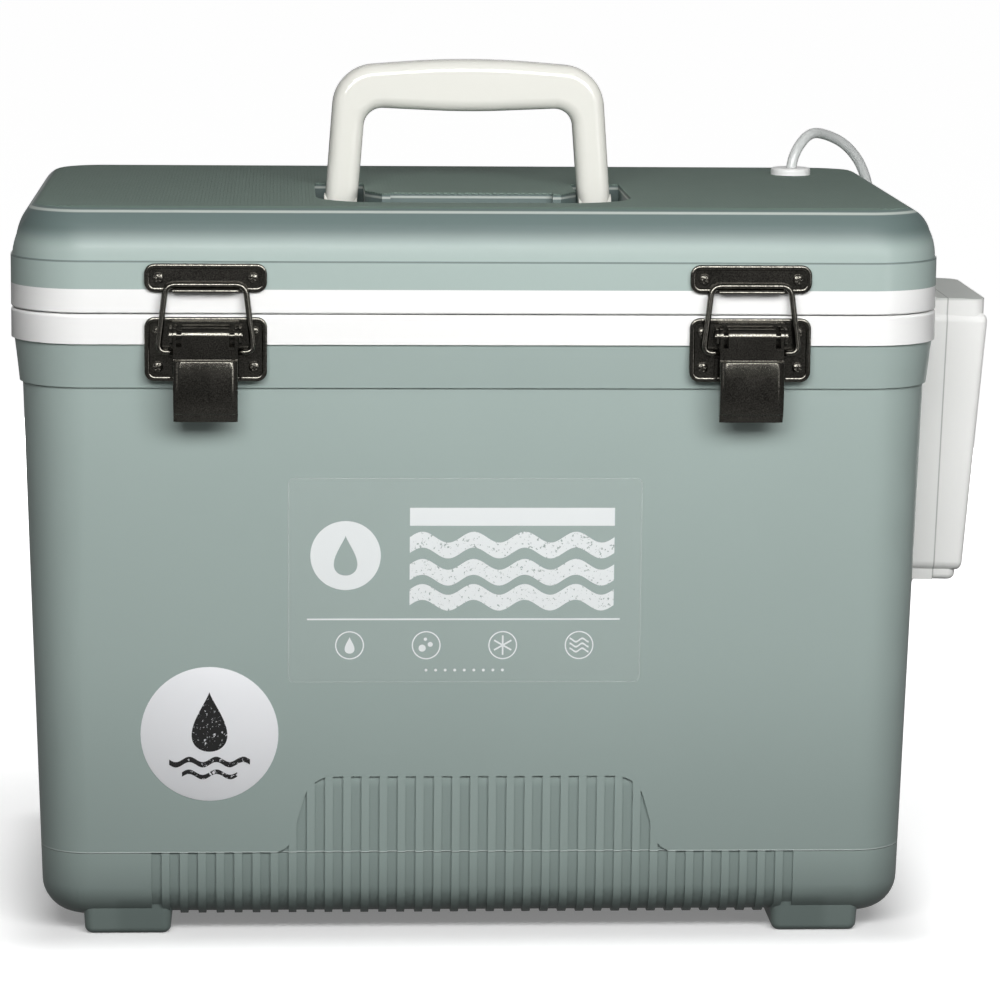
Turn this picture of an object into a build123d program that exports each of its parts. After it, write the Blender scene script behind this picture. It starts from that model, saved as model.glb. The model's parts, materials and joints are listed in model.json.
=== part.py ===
from build123d import *
import math
import os

# An insulated live-bait bucket with an air pump on its right side: a drafted tub
# with a foam core and a white liner, a hinged lid with a folding carrying handle,
# two draw latches at the front, and a battery pump whose hose enters the lid.
# Millimetres, +Z up, the front faces -Y. The shapes are written about the tub's own
# middle; the last lines move them so that the origin is under the middle of the whole
# thing, its hoses left out.

os.makedirs("parts", exist_ok=True)

# ---- overall sizes ----
rim_width = 435.0
rim_depth = 258.0
rim_corner_r = 36.0
foot_height = 8.0
body_height = 256.3
flange_height = 20.6
tub_band_height = 13.8
parting_gap = 0.6
lid_band_height = 11.1
lid_wall_height = 13.0
lid_roll_height = 22.4
lid_panel_height = 1.9

# ---- shell, foam and liner ----
shell_wall = 2.6
liner_wall = 2.4
rim_wall = 3.0
fit_gap = 0.3
body_inset = 5.1
flange_inset = 1.4
flange_taper = 2.3
body_draft = 1.7
body_bottom_r = 17.0
neck_height = 10.8
liner_inset_x = 31.0
liner_inset_y = 20.0
liner_corner_r = 30.0
liner_bottom_r = 18.0
liner_floor_z = 42.0
liner_draft = 2.0
rim_edge_r = 1.6

# ---- rib field at the foot of the shell ----
groove_depth = 1.2
groove_width = 4.9
rib_pitch = 8.58
groove_count = 36
rib_low_rise = 33.3
rib_high_rise = 70.2
shoulder_low_x = 88.0
shoulder_high_x = 77.5
shoulder_low_r = 9.3
shoulder_high_r = 14.4

# ---- feet ----
foot_width = 41.5
foot_length = 46.0
foot_x = 164.1
foot_setback = 5.0
foot_draft = 4.0
foot_edge_r = 3.5
foot_root = 14.0

# ---- lid ----
roll_inset = 12.2
roll_step = 0.8
end_inset = 17.6
end_height = 26.4
end_rise = 0.2
panel_inset = 1.4
lid_inner_r = 24.0
spigot_height = 6.5
lid_plug_depth = 7.0
lid_plug_gap = 3.0
gasket_width = 4.0
gasket_inset = 14.0
gasket_groove = 1.6
gasket_squeeze_gap = 0.15

# ---- handle and its pocket ----
handle_rise = 75.3
handle_crown = 5.0
handle_half_top = 65.1
handle_half_base = 70.3
handle_leg_width = 15.9
handle_thick = 17.0
handle_shoulder_r = 21.0
handle_inner_r = 9.0
grip_depth = 26.8
grip_sag = 2.2
handle_edge_r = 6.0
pivot_below_top = 12.4
pocket_half = 75.0
pocket_front_y = -93.5
pocket_rear_gap = 1.5
pocket_front_r = 30.0
pocket_depth = 24.4
island_half = 51.0
island_front_y = -46.0
island_scoop = 5.0
island_scoop_half = 39.0
island_bevel_x = 8.0
island_bevel_y = 14.0
handle_pin_r = 2.5
handle_pin_length = 22.0
handle_boss = 7.0
running_gap = 0.05

# ---- rear hinges ----
hinge_x = 140.0
hinge_offset_y = 6.5
hinge_pin_r = 2.0
knuckle_r = 5.4
knuckle_length = 14.0
knuckle_gap = 0.4

# ---- draw latches ----
latch_x = 126.0
plate_width = 56.2
plate_thick = 1.5
plate_corner_r = 4.6
base_height = 29.6
base_below_rim = 1.0
keeper_height = 13.0
keeper_drop = 1.0
keeper_screw_x = 21.8
base_screw_x = 22.2
base_screw_pitch = 16.3
screw_head_r = 2.55
screw_head_height = 1.7
screw_shank_r = 1.5
screw_shank_gap = 0.1
screw_reach = 2.6
lever_pivot_out = 4.5
lever_pivot_below = 9.0
bail_pivot_drop = 7.6
lever_width = 29.6
lever_gauge = 1.4
lever_length = 39.4
knuckle_barrel_r = 4.2
barrel_half = 10.9
lever_pin_r = 1.5
ear_gap = 0.5
ear_thick = 1.2
bail_wire_r = 1.4
bail_height = 30.9
bail_half_low = 21.2
bail_half_high = 20.2
bail_bar_half = 16.4
bail_shoulder = 5.4
shelf_half = 15.0
shelf_depth = 4.3
shelf_thick = 1.6
shelf_face = 4.2

# ---- air pump ----
pump_width = 96.0
pump_height = 127.6
pump_below_rim = 70.5
pump_seam = 18.0
pump_deep_top = 38.2
pump_deep_low = 32.0
pump_wall = 2.0
cap_inset = 1.5
top_cap_height = 6.6
low_cap_height = 4.6
low_cap_inset = 2.6
bracket_foot_out = 12.5
bracket_foot_height = 20.0
top_cap_r = 7.0
low_cap_r = 5.0
low_cap_edge_r = 3.0
pump_edge_r = 3.2
bracket_thick = 5.0
bracket_width = 58.0
bracket_height = 122.0
bracket_drop = 31.0
bracket_gap = 0.3
battery_r = 7.25
battery_length = 50.5
motor_r = 9.5
motor_length = 27.0
motor_shaft_r = 1.0
eccentric_r = 5.5
motor_boss_r = 3.0
motor_boss_height = 2.0
motor_edge_r = 1.2
cell_gap = 6.0
cell_edge_r = 1.0
cell_tip_r = 3.2
cell_tip_height = 1.2
contact_thick = 0.7
contact_half = 5.0
knob_width = 10.0
knob_height = 9.0
knob_out = 2.6
knob_edge_r = 0.8
stem_width = 4.0
cover_draft = 2.0
barb_r = 2.2
barb_reach = 1.5

# ---- air hose ----
hose_r = 2.65
grommet_x = 168.0
grommet_y = 73.0
grommet_r = 10.05
grommet_head = 3.6
grommet_stem_r = 4.6
stone_r = 8.0
stone_length = 38.0
stone_edge_r = 1.5
nipple_r = 1.8
nipple_length = 4.0
hose_bore_r = 1.5
head_edge_r = 1.4
grommet_stem = 14.0

# ---- heights and half sizes worked out from the above ----
rim_x = rim_width / 2
rim_y = rim_depth / 2
flange_z = foot_height + body_height
band_z = flange_z + flange_height
tub_top = band_z + tub_band_height
lid_low = tub_top + parting_gap
lid_band_top = lid_low + lid_band_height
roll_z = lid_band_top + lid_wall_height
crease_z = roll_z + lid_roll_height
lid_top = crease_z + lid_panel_height
pivot_z = lid_top - pivot_below_top
shell_top = band_z + neck_height
parting_z = tub_top + parting_gap / 2
hinge_y = rim_y + hinge_offset_y
pocket_rear_y = handle_thick / 2 + pocket_rear_gap
pump_centre_z = tub_top - pump_below_rim


def slope(angle):
    """Run per unit of height at a draft angle in degrees."""
    return math.tan(math.radians(angle))


def block(half_x, half_y, corner, low, high, draft=0.0):
    """An upright rounded block, widest at its top; draft narrows it downwards."""
    top = Pos(0, 0, high) * RectangleRounded(2 * half_x, 2 * half_y, corner)
    return extrude(top, amount=high - low, dir=(0, 0, -1), taper=draft)


def rim_block(inset, low, high, draft=0.0):
    """A block inside the rim's outline by that inset, with concentric corners."""
    return block(rim_x - inset, rim_y - inset, rim_corner_r - inset, low, high, draft)


def box(x0, x1, y0, y1, z0, z1):
    """A plain box given by its limits."""
    middle = ((x0 + x1) / 2, (y0 + y1) / 2, (z0 + z1) / 2)
    return Pos(*middle) * Box(abs(x1 - x0), abs(y1 - y0), abs(z1 - z0))


def rod(x0, x1, y, z, radius):
    """A cylinder lying along X."""
    return Pos((x0 + x1) / 2, y, z) * Rot(0, 90, 0) * Cylinder(radius, abs(x1 - x0))


def both_sides(shape):
    """The shape and its mirror image across the middle of the bucket."""
    return [shape, mirror(shape, about=Plane.YZ)]


def bottom_edges(solid):
    """The edges of the lowest level of a block."""
    return solid.edges().group_by(Axis.Z)[0]


# ---- tub shell ----
def body_half(z):
    """How far the drafted body has drawn in from the rim at a height."""
    return body_inset + (flange_z - z) * slope(body_draft)


def drafted_body(inset):
    """The tub's outer form, shrunk by an inset on its sides, bottom and edges."""
    low = foot_height + inset
    form = rim_block(body_inset + inset, low, flange_z, body_draft)
    return fillet(bottom_edges(form), body_bottom_r - inset)


def rib_outline():
    """The region of the front and back that the grooves fill, as a slab along Y."""
    low = foot_height + rib_low_rise
    high = foot_height + rib_high_rise
    edge = groove_count * rib_pitch / 2 + groove_width
    corners = [
        (-edge, low),
        (-shoulder_low_x, low),
        (-shoulder_high_x, high),
        (shoulder_high_x, high),
        (shoulder_low_x, low),
        (edge, low),
        (edge, 0),
        (-edge, 0),
    ]
    radii = [0, shoulder_low_r, shoulder_high_r, shoulder_high_r, shoulder_low_r, 0, 0, 0]
    face = Polygon(*corners, align=None)
    for corner, radius in zip(corners, radii):
        if radius:
            near = face.vertices().sort_by_distance((*corner, 0))[0]
            face = fillet(near, radius)
    return extrude(Plane.XZ * face, amount=rim_depth, both=True)


def grooves():
    """The channels between the ribs: down the front, under the bottom and up the back."""
    strips = []
    for index in range(groove_count):
        middle = (index - (groove_count - 1) / 2) * rib_pitch
        low_x = middle - groove_width / 2
        strips.append(box(low_x, low_x + groove_width, -rim_y, rim_y, 0, flange_z))
    return (Part() + strips) & rib_outline()


def feet():
    """Four drafted feet, moulded with the shell."""
    edge_y = rim_y - body_half(foot_height)
    middle_y = edge_y - foot_setback - foot_length / 2
    top = RectangleRounded(foot_width + 2, foot_length + 2, foot_edge_r + 2)
    high = foot_height + foot_root
    pads = []
    for x in (-foot_x, foot_x):
        for y in (-middle_y, middle_y):
            pad = extrude(Pos(x, y, high) * top, amount=high, dir=(0, 0, -1), taper=foot_draft)
            pads.append(fillet(bottom_edges(pad), foot_edge_r))
    return pads


def make_tub_shell():
    """The outer moulding: drafted body with its rib field, feet and stepped flange."""
    body = drafted_body(0) - (grooves() - drafted_body(groove_depth))
    flange_draft = math.degrees(math.atan(flange_taper / flange_height))
    flange = rim_block(flange_inset, flange_z, band_z, flange_draft)
    neck = rim_block(rim_wall + fit_gap, band_z, shell_top)
    cavity = drafted_cavity(0)
    shell = body + feet() + flange + neck - cavity
    for x in (-latch_x, latch_x):
        pad_half = plate_width / 2 - 3
        pad = box(x - pad_half, x + pad_half, -rim_y, -rim_y + 6, flange_z + 4, band_z)
        shell += pad - cavity
    return shell - latch_screw_holes()


def drafted_cavity(inset):
    """The hollow inside the shell, shrunk by an inset."""
    grow = (shell_top - flange_z) * slope(body_draft)
    side = body_inset + shell_wall + inset - grow
    low = foot_height + shell_wall + inset
    form = block(
        rim_x - side, rim_y - side, rim_corner_r - side, low, shell_top, body_draft
    )
    return fillet(bottom_edges(form), body_bottom_r - shell_wall - inset)


# ---- liner and tub insulation ----
def liner_form(grow):
    """The liner's basin, as a solid; grow 0 is the inner face."""
    half_x = rim_x - liner_inset_x + grow
    half_y = rim_y - liner_inset_y + grow
    form = block(
        half_x, half_y, liner_corner_r + grow, liner_floor_z - grow, tub_top, liner_draft
    )
    return fillet(bottom_edges(form), liner_bottom_r + grow)


def make_tub_liner():
    """The white basin, its rim that caps the shell, and the tub's hinge knuckles."""
    rim = rim_block(0, band_z, tub_top)
    rim = fillet(rim.edges().group_by(Axis.Z)[-1], rim_edge_r)
    channel = rim_block(rim_wall, band_z - 1, shell_top + fit_gap)
    liner = rim - channel + liner_form(liner_wall) - liner_form(0)
    liner += [knuckle(x, below=True) for x in tub_knuckle_places()]
    bores = [
        rod(x - knuckle_length, x + knuckle_length, hinge_y, parting_z, hinge_pin_r + running_gap)
        for x in tub_knuckle_places()
    ]
    return liner - bores - latch_screw_holes()


def make_tub_insulation():
    """The foam between shell and liner."""
    foam = drafted_cavity(fit_gap) - liner_form(liner_wall + fit_gap)
    return foam


# ---- rear hinges ----
def tub_knuckle_places():
    """The middles of the four knuckles on the tub, two at each hinge."""
    step = knuckle_length + knuckle_gap
    return [x + side * step for x in (-hinge_x, hinge_x) for side in (-1, 1)]


def knuckle(x, below):
    """One knuckle with the web that carries it on the tub's rim or the lid's."""
    half = knuckle_length / 2
    barrel = rod(x - half, x + half, hinge_y, parting_z, knuckle_r)
    if below:
        low, high = parting_z - knuckle_r, tub_top
    else:
        low, high = lid_low, parting_z + knuckle_r
    web = box(x - half, x + half, rim_y - rim_wall / 2, hinge_y, low, high)
    return barrel + web


def make_hinge_pins():
    """One steel pin through the three knuckles of each hinge."""
    half = 1.5 * knuckle_length + 2 * knuckle_gap + 1
    return Part() + [
        rod(x - half, x + half, hinge_y, parting_z, hinge_pin_r)
        for x in (-hinge_x, hinge_x)
    ]


# ---- lid ----
def lid_roll(inset, rise):
    """The rolled edge, a quarter ellipse carried round the crease, and all inside it."""
    side = roll_step + roll_inset + inset
    low = roll_z + rise
    path = Pos(0, 0, low) * RectangleRounded(
        rim_width - 2 * side, rim_depth - 2 * side, rim_corner_r - side
    ).wire()
    with BuildSketch(Plane.XZ) as profile:
        with BuildLine():
            EllipticalCenterArc((0, 0), roll_inset, lid_roll_height, 0, arc_size=90)
            Line((0, lid_roll_height), (-roll_inset / 2, lid_roll_height))
            Line((-roll_inset / 2, lid_roll_height), (-roll_inset / 2, 0))
            Line((-roll_inset / 2, 0), (roll_inset, 0))
        make_face()
    start = Pos(rim_x - side, 0, low) * profile.sketch
    ring = sweep(start, path=path)
    middle = rim_block(side + roll_inset / 4, low, low + lid_roll_height)
    return ring + middle


def lid_ends(rise):
    """The lid top's front view as a slab along Y: flat, falling off at both ends."""
    half = rim_x - roll_step
    high = crease_z + end_rise + rise
    low = high - end_height
    flat = half - end_inset
    with BuildSketch(Plane.XZ) as outline:
        with BuildLine():
            EllipticalCenterArc((flat, low), end_inset, end_height, 0, arc_size=90)
            Line((flat, high), (-flat, high))
            EllipticalCenterArc((-flat, low), end_inset, end_height, 90, arc_size=90)
            Line((-half, low), (-half, lid_low))
            Line((-half, lid_low), (half, lid_low))
            Line((half, lid_low), (half, low))
        make_face()
    return extrude(outline.sketch, amount=rim_depth, both=True)


def d_shape(grow):
    """The handle pocket's outline: square at the back, rounded at the front."""
    half = pocket_half + grow
    front = pocket_front_y - grow
    rear = pocket_rear_y + grow
    face = Pos(0, (front + rear) / 2) * Rectangle(2 * half, rear - front)
    front_corners = face.vertices().group_by(Axis.Y)[0]
    return fillet(front_corners, pocket_front_r + grow)


def island(grow):
    """The raised middle of the pocket, with the finger scoop in its front face."""
    half = island_half + grow
    high = lid_top + 1
    low = lid_top - pocket_depth - 1
    front = island_front_y - grow
    bevel_x = half - island_bevel_x
    outline = Polygon(
        (-bevel_x, front), (bevel_x, front), (half, front + island_bevel_y),
        (half, pocket_rear_y + 5), (-half, pocket_rear_y + 5), (-half, front + island_bevel_y),
        align=None,
    )
    form = extrude(Pos(0, 0, low) * outline, amount=high - low)
    scoop_front = island_front_y - 1
    scoop = box(
        -island_scoop_half, island_scoop_half, scoop_front, island_front_y + island_scoop, low, high
    )
    return form - scoop


def pocket_cut():
    """The room the folded handle takes, down to the pocket's floor."""
    floor = lid_top - pocket_depth
    room = extrude(Pos(0, 0, floor) * d_shape(0), amount=pocket_depth + 5)
    return room - island(0)


def handle_bores():
    """The two holes that the handle's pins turn in."""
    reach = handle_half_base + handle_pin_length
    gap = handle_pin_r + running_gap
    return both_sides(rod(island_half + 1, reach, 0, pivot_z, gap))


def make_lid_shell():
    """The lid's outer moulding: wall, roll, raised top panel and handle pocket."""
    wall = rim_block(0, lid_band_top, roll_z)
    roll = lid_roll(0, 0) & lid_ends(0)
    panel = lid_roll(panel_inset, lid_panel_height) & lid_ends(lid_panel_height - end_rise)
    outer = wall + roll + panel
    hollow = rim_block(shell_wall, lid_band_top - 1, crease_z - shell_wall)
    hollow = fillet(hollow.edges().group_by(Axis.Z)[-1], lid_inner_r)
    spigot = rim_block(rim_wall + fit_gap, lid_band_top - spigot_height, lid_band_top + 1)
    spigot += rim_block(shell_wall / 2, lid_band_top, lid_band_top + shell_wall)
    spigot -= rim_block(rim_wall + fit_gap + shell_wall, band_z, lid_top)
    pocket_low = lid_top - pocket_depth - shell_wall
    tray = extrude(Pos(0, 0, pocket_low) * d_shape(shell_wall), amount=crease_z - 1 - pocket_low)
    tray_room = extrude(
        Pos(0, 0, pocket_low - 1) * Rectangle(2 * (island_half - shell_wall), 2 * -island_front_y),
        amount=pocket_depth - shell_wall,
    )
    tray -= tray_room & box(
        -rim_x, rim_x, island_front_y + island_scoop + shell_wall, pocket_rear_y, 0, lid_top
    )
    bosses = both_sides(
        box(
            pocket_half, pocket_half + handle_boss + shell_wall, -handle_boss, handle_boss,
            pivot_z - handle_boss, crease_z - 1,
        )
    )
    shell = outer - hollow + spigot + tray + bosses - pocket_cut() - handle_bores()
    hole = Pos(grommet_x, grommet_y, lid_top) * Cylinder(grommet_stem_r + fit_gap / 2, 20)
    return shell - hole - latch_screw_holes()


def make_lid_insulation():
    """The foam inside the lid, cut away round the pocket and the hose."""
    side = shell_wall + rim_wall + 2 * fit_gap
    low = lid_low + liner_wall + fit_gap
    foam = rim_block(side, low, crease_z - shell_wall - fit_gap)
    foam = fillet(foam.edges().group_by(Axis.Z)[-1], lid_inner_r)
    pocket_low = lid_top - pocket_depth - shell_wall - fit_gap
    foam -= extrude(
        Pos(0, 0, pocket_low) * d_shape(shell_wall + fit_gap), amount=pocket_depth
    )
    boss = handle_boss + fit_gap
    foam -= both_sides(
        box(pocket_half, pocket_half + boss + shell_wall, -boss, boss, pivot_z - boss, lid_top)
    )
    return foam - hose_hole()


def hose_hole():
    """The way for the hose through foam and liner, under the grommet."""
    gap = grommet_stem_r + fit_gap
    return Pos(grommet_x, grommet_y, lid_low) * Cylinder(gap, 2 * (lid_top - lid_low))


def plug_block(inset, low, high):
    """The lid's plug, which drops inside the liner's mouth."""
    side = lid_plug_gap + inset
    half_x = rim_x - liner_inset_x - side
    half_y = rim_y - liner_inset_y - side
    return block(half_x, half_y, liner_corner_r - side, low, high)


def gasket_ring(extra, low, high):
    """A flat ring under the lid, over the tub's rim."""
    inset = gasket_inset - extra
    outer = rim_block(inset, low, high)
    return outer - rim_block(gasket_inset + gasket_width + extra, low - 1, high + 1)


def make_lid_liner():
    """The lid's white band and underside, with its plug and hinge knuckles."""
    band = rim_block(0, lid_low, lid_band_top)
    band = fillet(bottom_edges(band), rim_edge_r / 2)
    liner = band + plug_block(0, lid_low - lid_plug_depth, lid_low)
    liner -= rim_block(rim_wall, lid_low + liner_wall, lid_band_top + 1)
    liner -= plug_block(liner_wall, lid_low - lid_plug_depth + liner_wall, lid_low + liner_wall)
    liner -= gasket_ring(fit_gap, lid_low - 1, lid_low + gasket_groove)
    liner += [knuckle(x, below=False) for x in (-hinge_x, hinge_x)]
    bores = [
        rod(x - knuckle_length, x + knuckle_length, hinge_y, parting_z, hinge_pin_r + running_gap)
        for x in (-hinge_x, hinge_x)
    ]
    return liner - bores - hose_hole()


def make_lid_gasket():
    """The rubber seal in the lid's groove."""
    return gasket_ring(0, tub_top + gasket_squeeze_gap, lid_low + gasket_groove)


# ---- handle ----
def make_handle():
    """The bail handle: an arch of two legs and a crowned, slightly bellied grip."""
    top = pivot_z + handle_rise
    with BuildSketch(Plane.XZ) as front:
        with BuildLine():
            outer = FilletPolyline(
                (-handle_half_base, pivot_z),
                (-handle_half_top, top - handle_crown),
                (0, top),
                (handle_half_top, top - handle_crown),
                (handle_half_base, pivot_z),
                radius=(handle_shoulder_r, 400, handle_shoulder_r),
            )
            inner_half = handle_half_base - handle_leg_width
            low = top - grip_depth
            inner = FilletPolyline(
                (inner_half, pivot_z),
                (inner_half - 4, low + grip_sag),
                (0, low),
                (4 - inner_half, low + grip_sag),
                (-inner_half, pivot_z),
                radius=(handle_inner_r, 400, handle_inner_r),
            )
            Line(outer @ 0, inner @ 1)
            Line(outer @ 1, inner @ 0)
        make_face()
    arch = extrude(front.sketch, amount=handle_thick / 2, both=True)
    curved = arch.edges().filter_by(lambda edge: abs(edge.center().Z - pivot_z) > 1)
    arch = fillet(curved, handle_edge_r)
    inner_half = handle_half_base - handle_leg_width
    ends = both_sides(rod(inner_half, handle_half_base, 0, pivot_z, handle_thick / 2))
    bore_r = handle_pin_r + running_gap
    holes = both_sides(rod(inner_half - 1, handle_half_base + 1, 0, pivot_z, bore_r))
    return arch + ends - holes


def make_handle_pins():
    """The steel pins that carry the handle in the lid."""
    inner = handle_half_base - handle_leg_width + 2
    return Part() + both_sides(rod(inner, inner + handle_pin_length, 0, pivot_z, handle_pin_r))


# ---- draw latches ----
plate_front = -rim_y - plate_thick
lever_z = tub_top - lever_pivot_below
bail_z = lever_z - bail_pivot_drop
lever_y = plate_front - lever_pivot_out
base_middle_z = tub_top - base_below_rim - base_height / 2
keeper_middle_z = lid_band_top - keeper_drop + keeper_height / 2
bar_out = bail_wire_r + fit_gap
bail_tilt = math.degrees(math.asin((lever_pivot_out - bar_out) / bail_height))
bar_z = bail_z + bail_height * math.cos(math.radians(bail_tilt))


def front_plate(x, z, width, height, corner, thick):
    """A flat rounded plate on the front of the rim."""
    face = Plane.XZ.offset(rim_y) * Pos(x, z) * RectangleRounded(width, height, corner)
    return extrude(face, amount=thick)


def along_y(x, y, z, radius, length):
    """A cylinder whose near end is at y and which reaches towards +Y."""
    return Pos(x, y + length / 2, z) * Rot(90, 0, 0) * Cylinder(radius, length)


def base_screw_places(x):
    """The four screws of one latch base."""
    half = base_screw_pitch / 2
    return [
        (x + side * base_screw_x, base_middle_z + level * half)
        for side in (-1, 1)
        for level in (-1, 1)
    ]


def keeper_screw_places(x):
    """The two screws of one keeper."""
    return [(x + side * keeper_screw_x, keeper_middle_z) for side in (-1, 1)]


def screw(x, z):
    """A pan-head screw through a plate on the front."""
    head = along_y(x, plate_front - screw_head_height, z, screw_head_r, screw_head_height)
    head = fillet(head.edges().group_by(Axis.Y)[0], screw_head_height / 2)
    shank_length = plate_thick + screw_reach
    return head + along_y(x, plate_front, z, screw_shank_r, shank_length)


def latch_screw_holes():
    """The holes behind the latch plates for their screws."""
    places = []
    for x in (-latch_x, latch_x):
        places += base_screw_places(x) + keeper_screw_places(x)
    depth = 2 * plate_thick + screw_reach + screw_shank_gap
    hole_r = screw_shank_r + screw_shank_gap
    return [along_y(px, -rim_y - 2 * plate_thick, pz, hole_r, depth) for px, pz in places]


def make_latch_base(x):
    """The pressed plate with its two ears, side rails and top lip."""
    plate = front_plate(x, base_middle_z, plate_width, base_height, plate_corner_r, plate_thick)
    inner = lever_width / 2 + ear_gap
    outer = inner + ear_thick
    ear_r = knuckle_barrel_r - ear_gap / 2
    rail_high = bail_z - 2 * bail_wire_r
    rail_low = base_middle_z - base_height / 2 + ear_thick
    for side in (-1, 1):
        near, far = sorted((x + side * inner, x + side * outer))
        plate += rod(near, far, lever_y, lever_z, ear_r)
        plate += box(near, far, lever_y, plate_front, lever_z - ear_r, lever_z + ear_r)
        plate += box(near, far, plate_front - 2 * ear_thick, plate_front, rail_low, rail_high)
    lip_low = lever_z + knuckle_barrel_r + 2 * ear_gap
    plate += box(
        x - inner, x + inner, plate_front - lever_pivot_out + ear_gap, plate_front,
        lip_low, lip_low + ear_thick,
    )
    plate -= rod(x - outer - 1, x + outer + 1, lever_y, lever_z, lever_pin_r + running_gap)
    return plate - latch_screw_holes()


def make_keeper(x):
    """The plate on the lid, with the shelf that the bail pulls on."""
    plate = front_plate(
        x, keeper_middle_z, plate_width, keeper_height, plate_corner_r, plate_thick
    )
    top = bar_z - bail_wire_r - running_gap
    front = plate_front - shelf_depth
    shelf = box(x - shelf_half, x + shelf_half, front, plate_front, top - shelf_thick, top)
    face = box(x - shelf_half, x + shelf_half, front, front + shelf_thick, top - shelf_face, top)
    hook = shelf + face
    edge = hook.edges().filter_by(Axis.X).group_by(Axis.Y)[0].sort_by(Axis.Z)[-1]
    hook = fillet(edge, shelf_thick - 0.2)
    return plate + hook - latch_screw_holes()


def lever_side(points, belly, tail):
    """A face of the lever's side view, from its points and the arc of its belly."""
    with BuildSketch(Plane.YZ) as side:
        with BuildLine():
            Polyline(*[(plate_front - out, lever_z + up) for out, up in points])
            ThreePointArc(*[(plate_front - out, lever_z + up) for out, up in belly])
            Polyline(*[(plate_front - out, lever_z + up) for out, up in tail])
        make_face()
    return side.sketch


def make_lever(x):
    """The pressed lever: barrel, windows, side flanges and the bellied thumb pad."""
    half = lever_width / 2
    front = lever_pivot_out + knuckle_barrel_r
    gauge = lever_gauge
    low = -lever_length
    step = -bail_pivot_drop - 3.0
    back = front - 2 * knuckle_barrel_r + ear_gap
    belly = [(front + 1.2, step), (front + 4.1, low * 0.6), (front + 2.3, low + 2.4)]
    outline = lever_side(
        [(back, 0), (front, 0), (front, step + 0.6), belly[0]],
        belly,
        [belly[2], (front + 0.9, low), (front - 0.7, low), (back + 3.6, low / 2),
         (back, step - 1.0), (back, 0)],
    )
    solid = extrude(outline, amount=half, both=True)
    solid += rod(-half, half, lever_y, lever_z, knuckle_barrel_r)
    inner_belly = [(out - gauge, up - gauge / 9) for out, up in belly]
    room_top = -knuckle_barrel_r - 0.7
    room = lever_side(
        [(-2, room_top), (front - gauge, room_top), (front - gauge, step), inner_belly[0]],
        inner_belly,
        [inner_belly[2], (front - 0.4, low + gauge), (-2, low + gauge), (-2, room_top)],
    )
    solid -= extrude(room, amount=half - gauge, both=True)
    for side in (-1, 1):
        near, far = sorted((side * barrel_half, side * (half - gauge)))
        solid -= box(near, far, lever_y - 10, plate_front + 2, lever_z + room_top, lever_z + 9)
    pad_corner_r = 3.0
    outline_height = 2 * lever_length
    mask = Plane.XZ * Pos(0, lever_z + low + outline_height / 2)
    mask *= RectangleRounded(lever_width, outline_height, pad_corner_r)
    solid &= extrude(mask, amount=2 * rim_y)
    solid -= rod(-rim_x, rim_x, lever_y, lever_z, lever_pin_r + running_gap)
    solid -= rod(-rim_x, rim_x, lever_y, bail_z, bail_wire_r + running_gap)
    return Pos(x, 0, 0) * solid


def make_lever_pin(x):
    """The pin that the lever turns on, held in the base's ears."""
    half = lever_width / 2 + ear_gap + ear_thick + ear_gap
    return rod(x - half, x + half, lever_y, lever_z, lever_pin_r)


def make_bail(x):
    """The bent wire loop: its ends turn in the lever, its bar pulls on the keeper."""
    inner = barrel_half + lever_gauge
    path = FilletPolyline(
        (-inner, 0, 0),
        (-bail_half_low, 0, 0),
        (-bail_half_high, 0, bail_height - bail_shoulder),
        (-bail_bar_half, 0, bail_height),
        (bail_bar_half, 0, bail_height),
        (bail_half_high, 0, bail_height - bail_shoulder),
        (bail_half_low, 0, 0),
        (inner, 0, 0),
        radius=(3.0, 4.0, 3.0, 3.0, 4.0, 3.0),
    )
    start = Plane(origin=path @ 0, z_dir=path % 0)
    wire = sweep(start * Circle(bail_wire_r), path=path)
    return Pos(x, lever_y, bail_z) * Rot(bail_tilt, 0, 0) * wire


# ---- air pump ----
pump_wall_x = rim_x - body_half(pump_centre_z)
pump_place = Pos(pump_wall_x, 0, pump_centre_z) * Rot(0, body_draft, 0)
case_back = bracket_thick + bracket_gap
half_h = pump_height / 2
half_w = pump_width / 2
face_taper = math.degrees(math.atan((pump_deep_top - pump_deep_low) / pump_height))
face_middle = (pump_deep_top + pump_deep_low) / 2
face_place = pump_place * Pos(face_middle, 0, 0) * Rot(0, face_taper, 0)
dovetail_near = 10.0
dovetail_far = 13.0
dovetail_depth = 3.6
dovetail_low = -4.0
dovetail_high = 34.0
cell_x = case_back + pump_wall + fit_gap + battery_r
cell_low = -half_h + pump_wall + contact_thick + 2 * fit_gap
cell_y = battery_r + cell_gap / 2
motor_x = case_back + dovetail_depth + 2 * pump_wall + motor_r + fit_gap
motor_y = -26.0
motor_low = 6.0
eccentric_low = motor_low + motor_length + 2.0
eccentric_high = eccentric_low + 4.0
crank_throw = 2.0
crank_r = 1.2
arm_low = eccentric_high + 1.5
arm_thick = 2.0
outlet_x = case_back + dovetail_depth + 2 * pump_wall + 3.0
outlet_z = arm_low + arm_thick / 2
knob_middle = 34.0
knob_travel = 6.0
keep_thick = 1.2


def pump_outline(inset):
    """The pump's outline seen from the side of the bucket."""
    corner = pump_edge_r + 2.0 - inset
    return Plane.YZ * RectangleRounded(pump_width - 2 * inset, pump_height - 2 * inset, corner)


def along_x(x, y, z, radius, length):
    """A cylinder whose near end is at x and which reaches towards +X."""
    return Pos(x + length / 2, y, z) * Rot(0, 90, 0) * Cylinder(radius, length)


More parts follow.
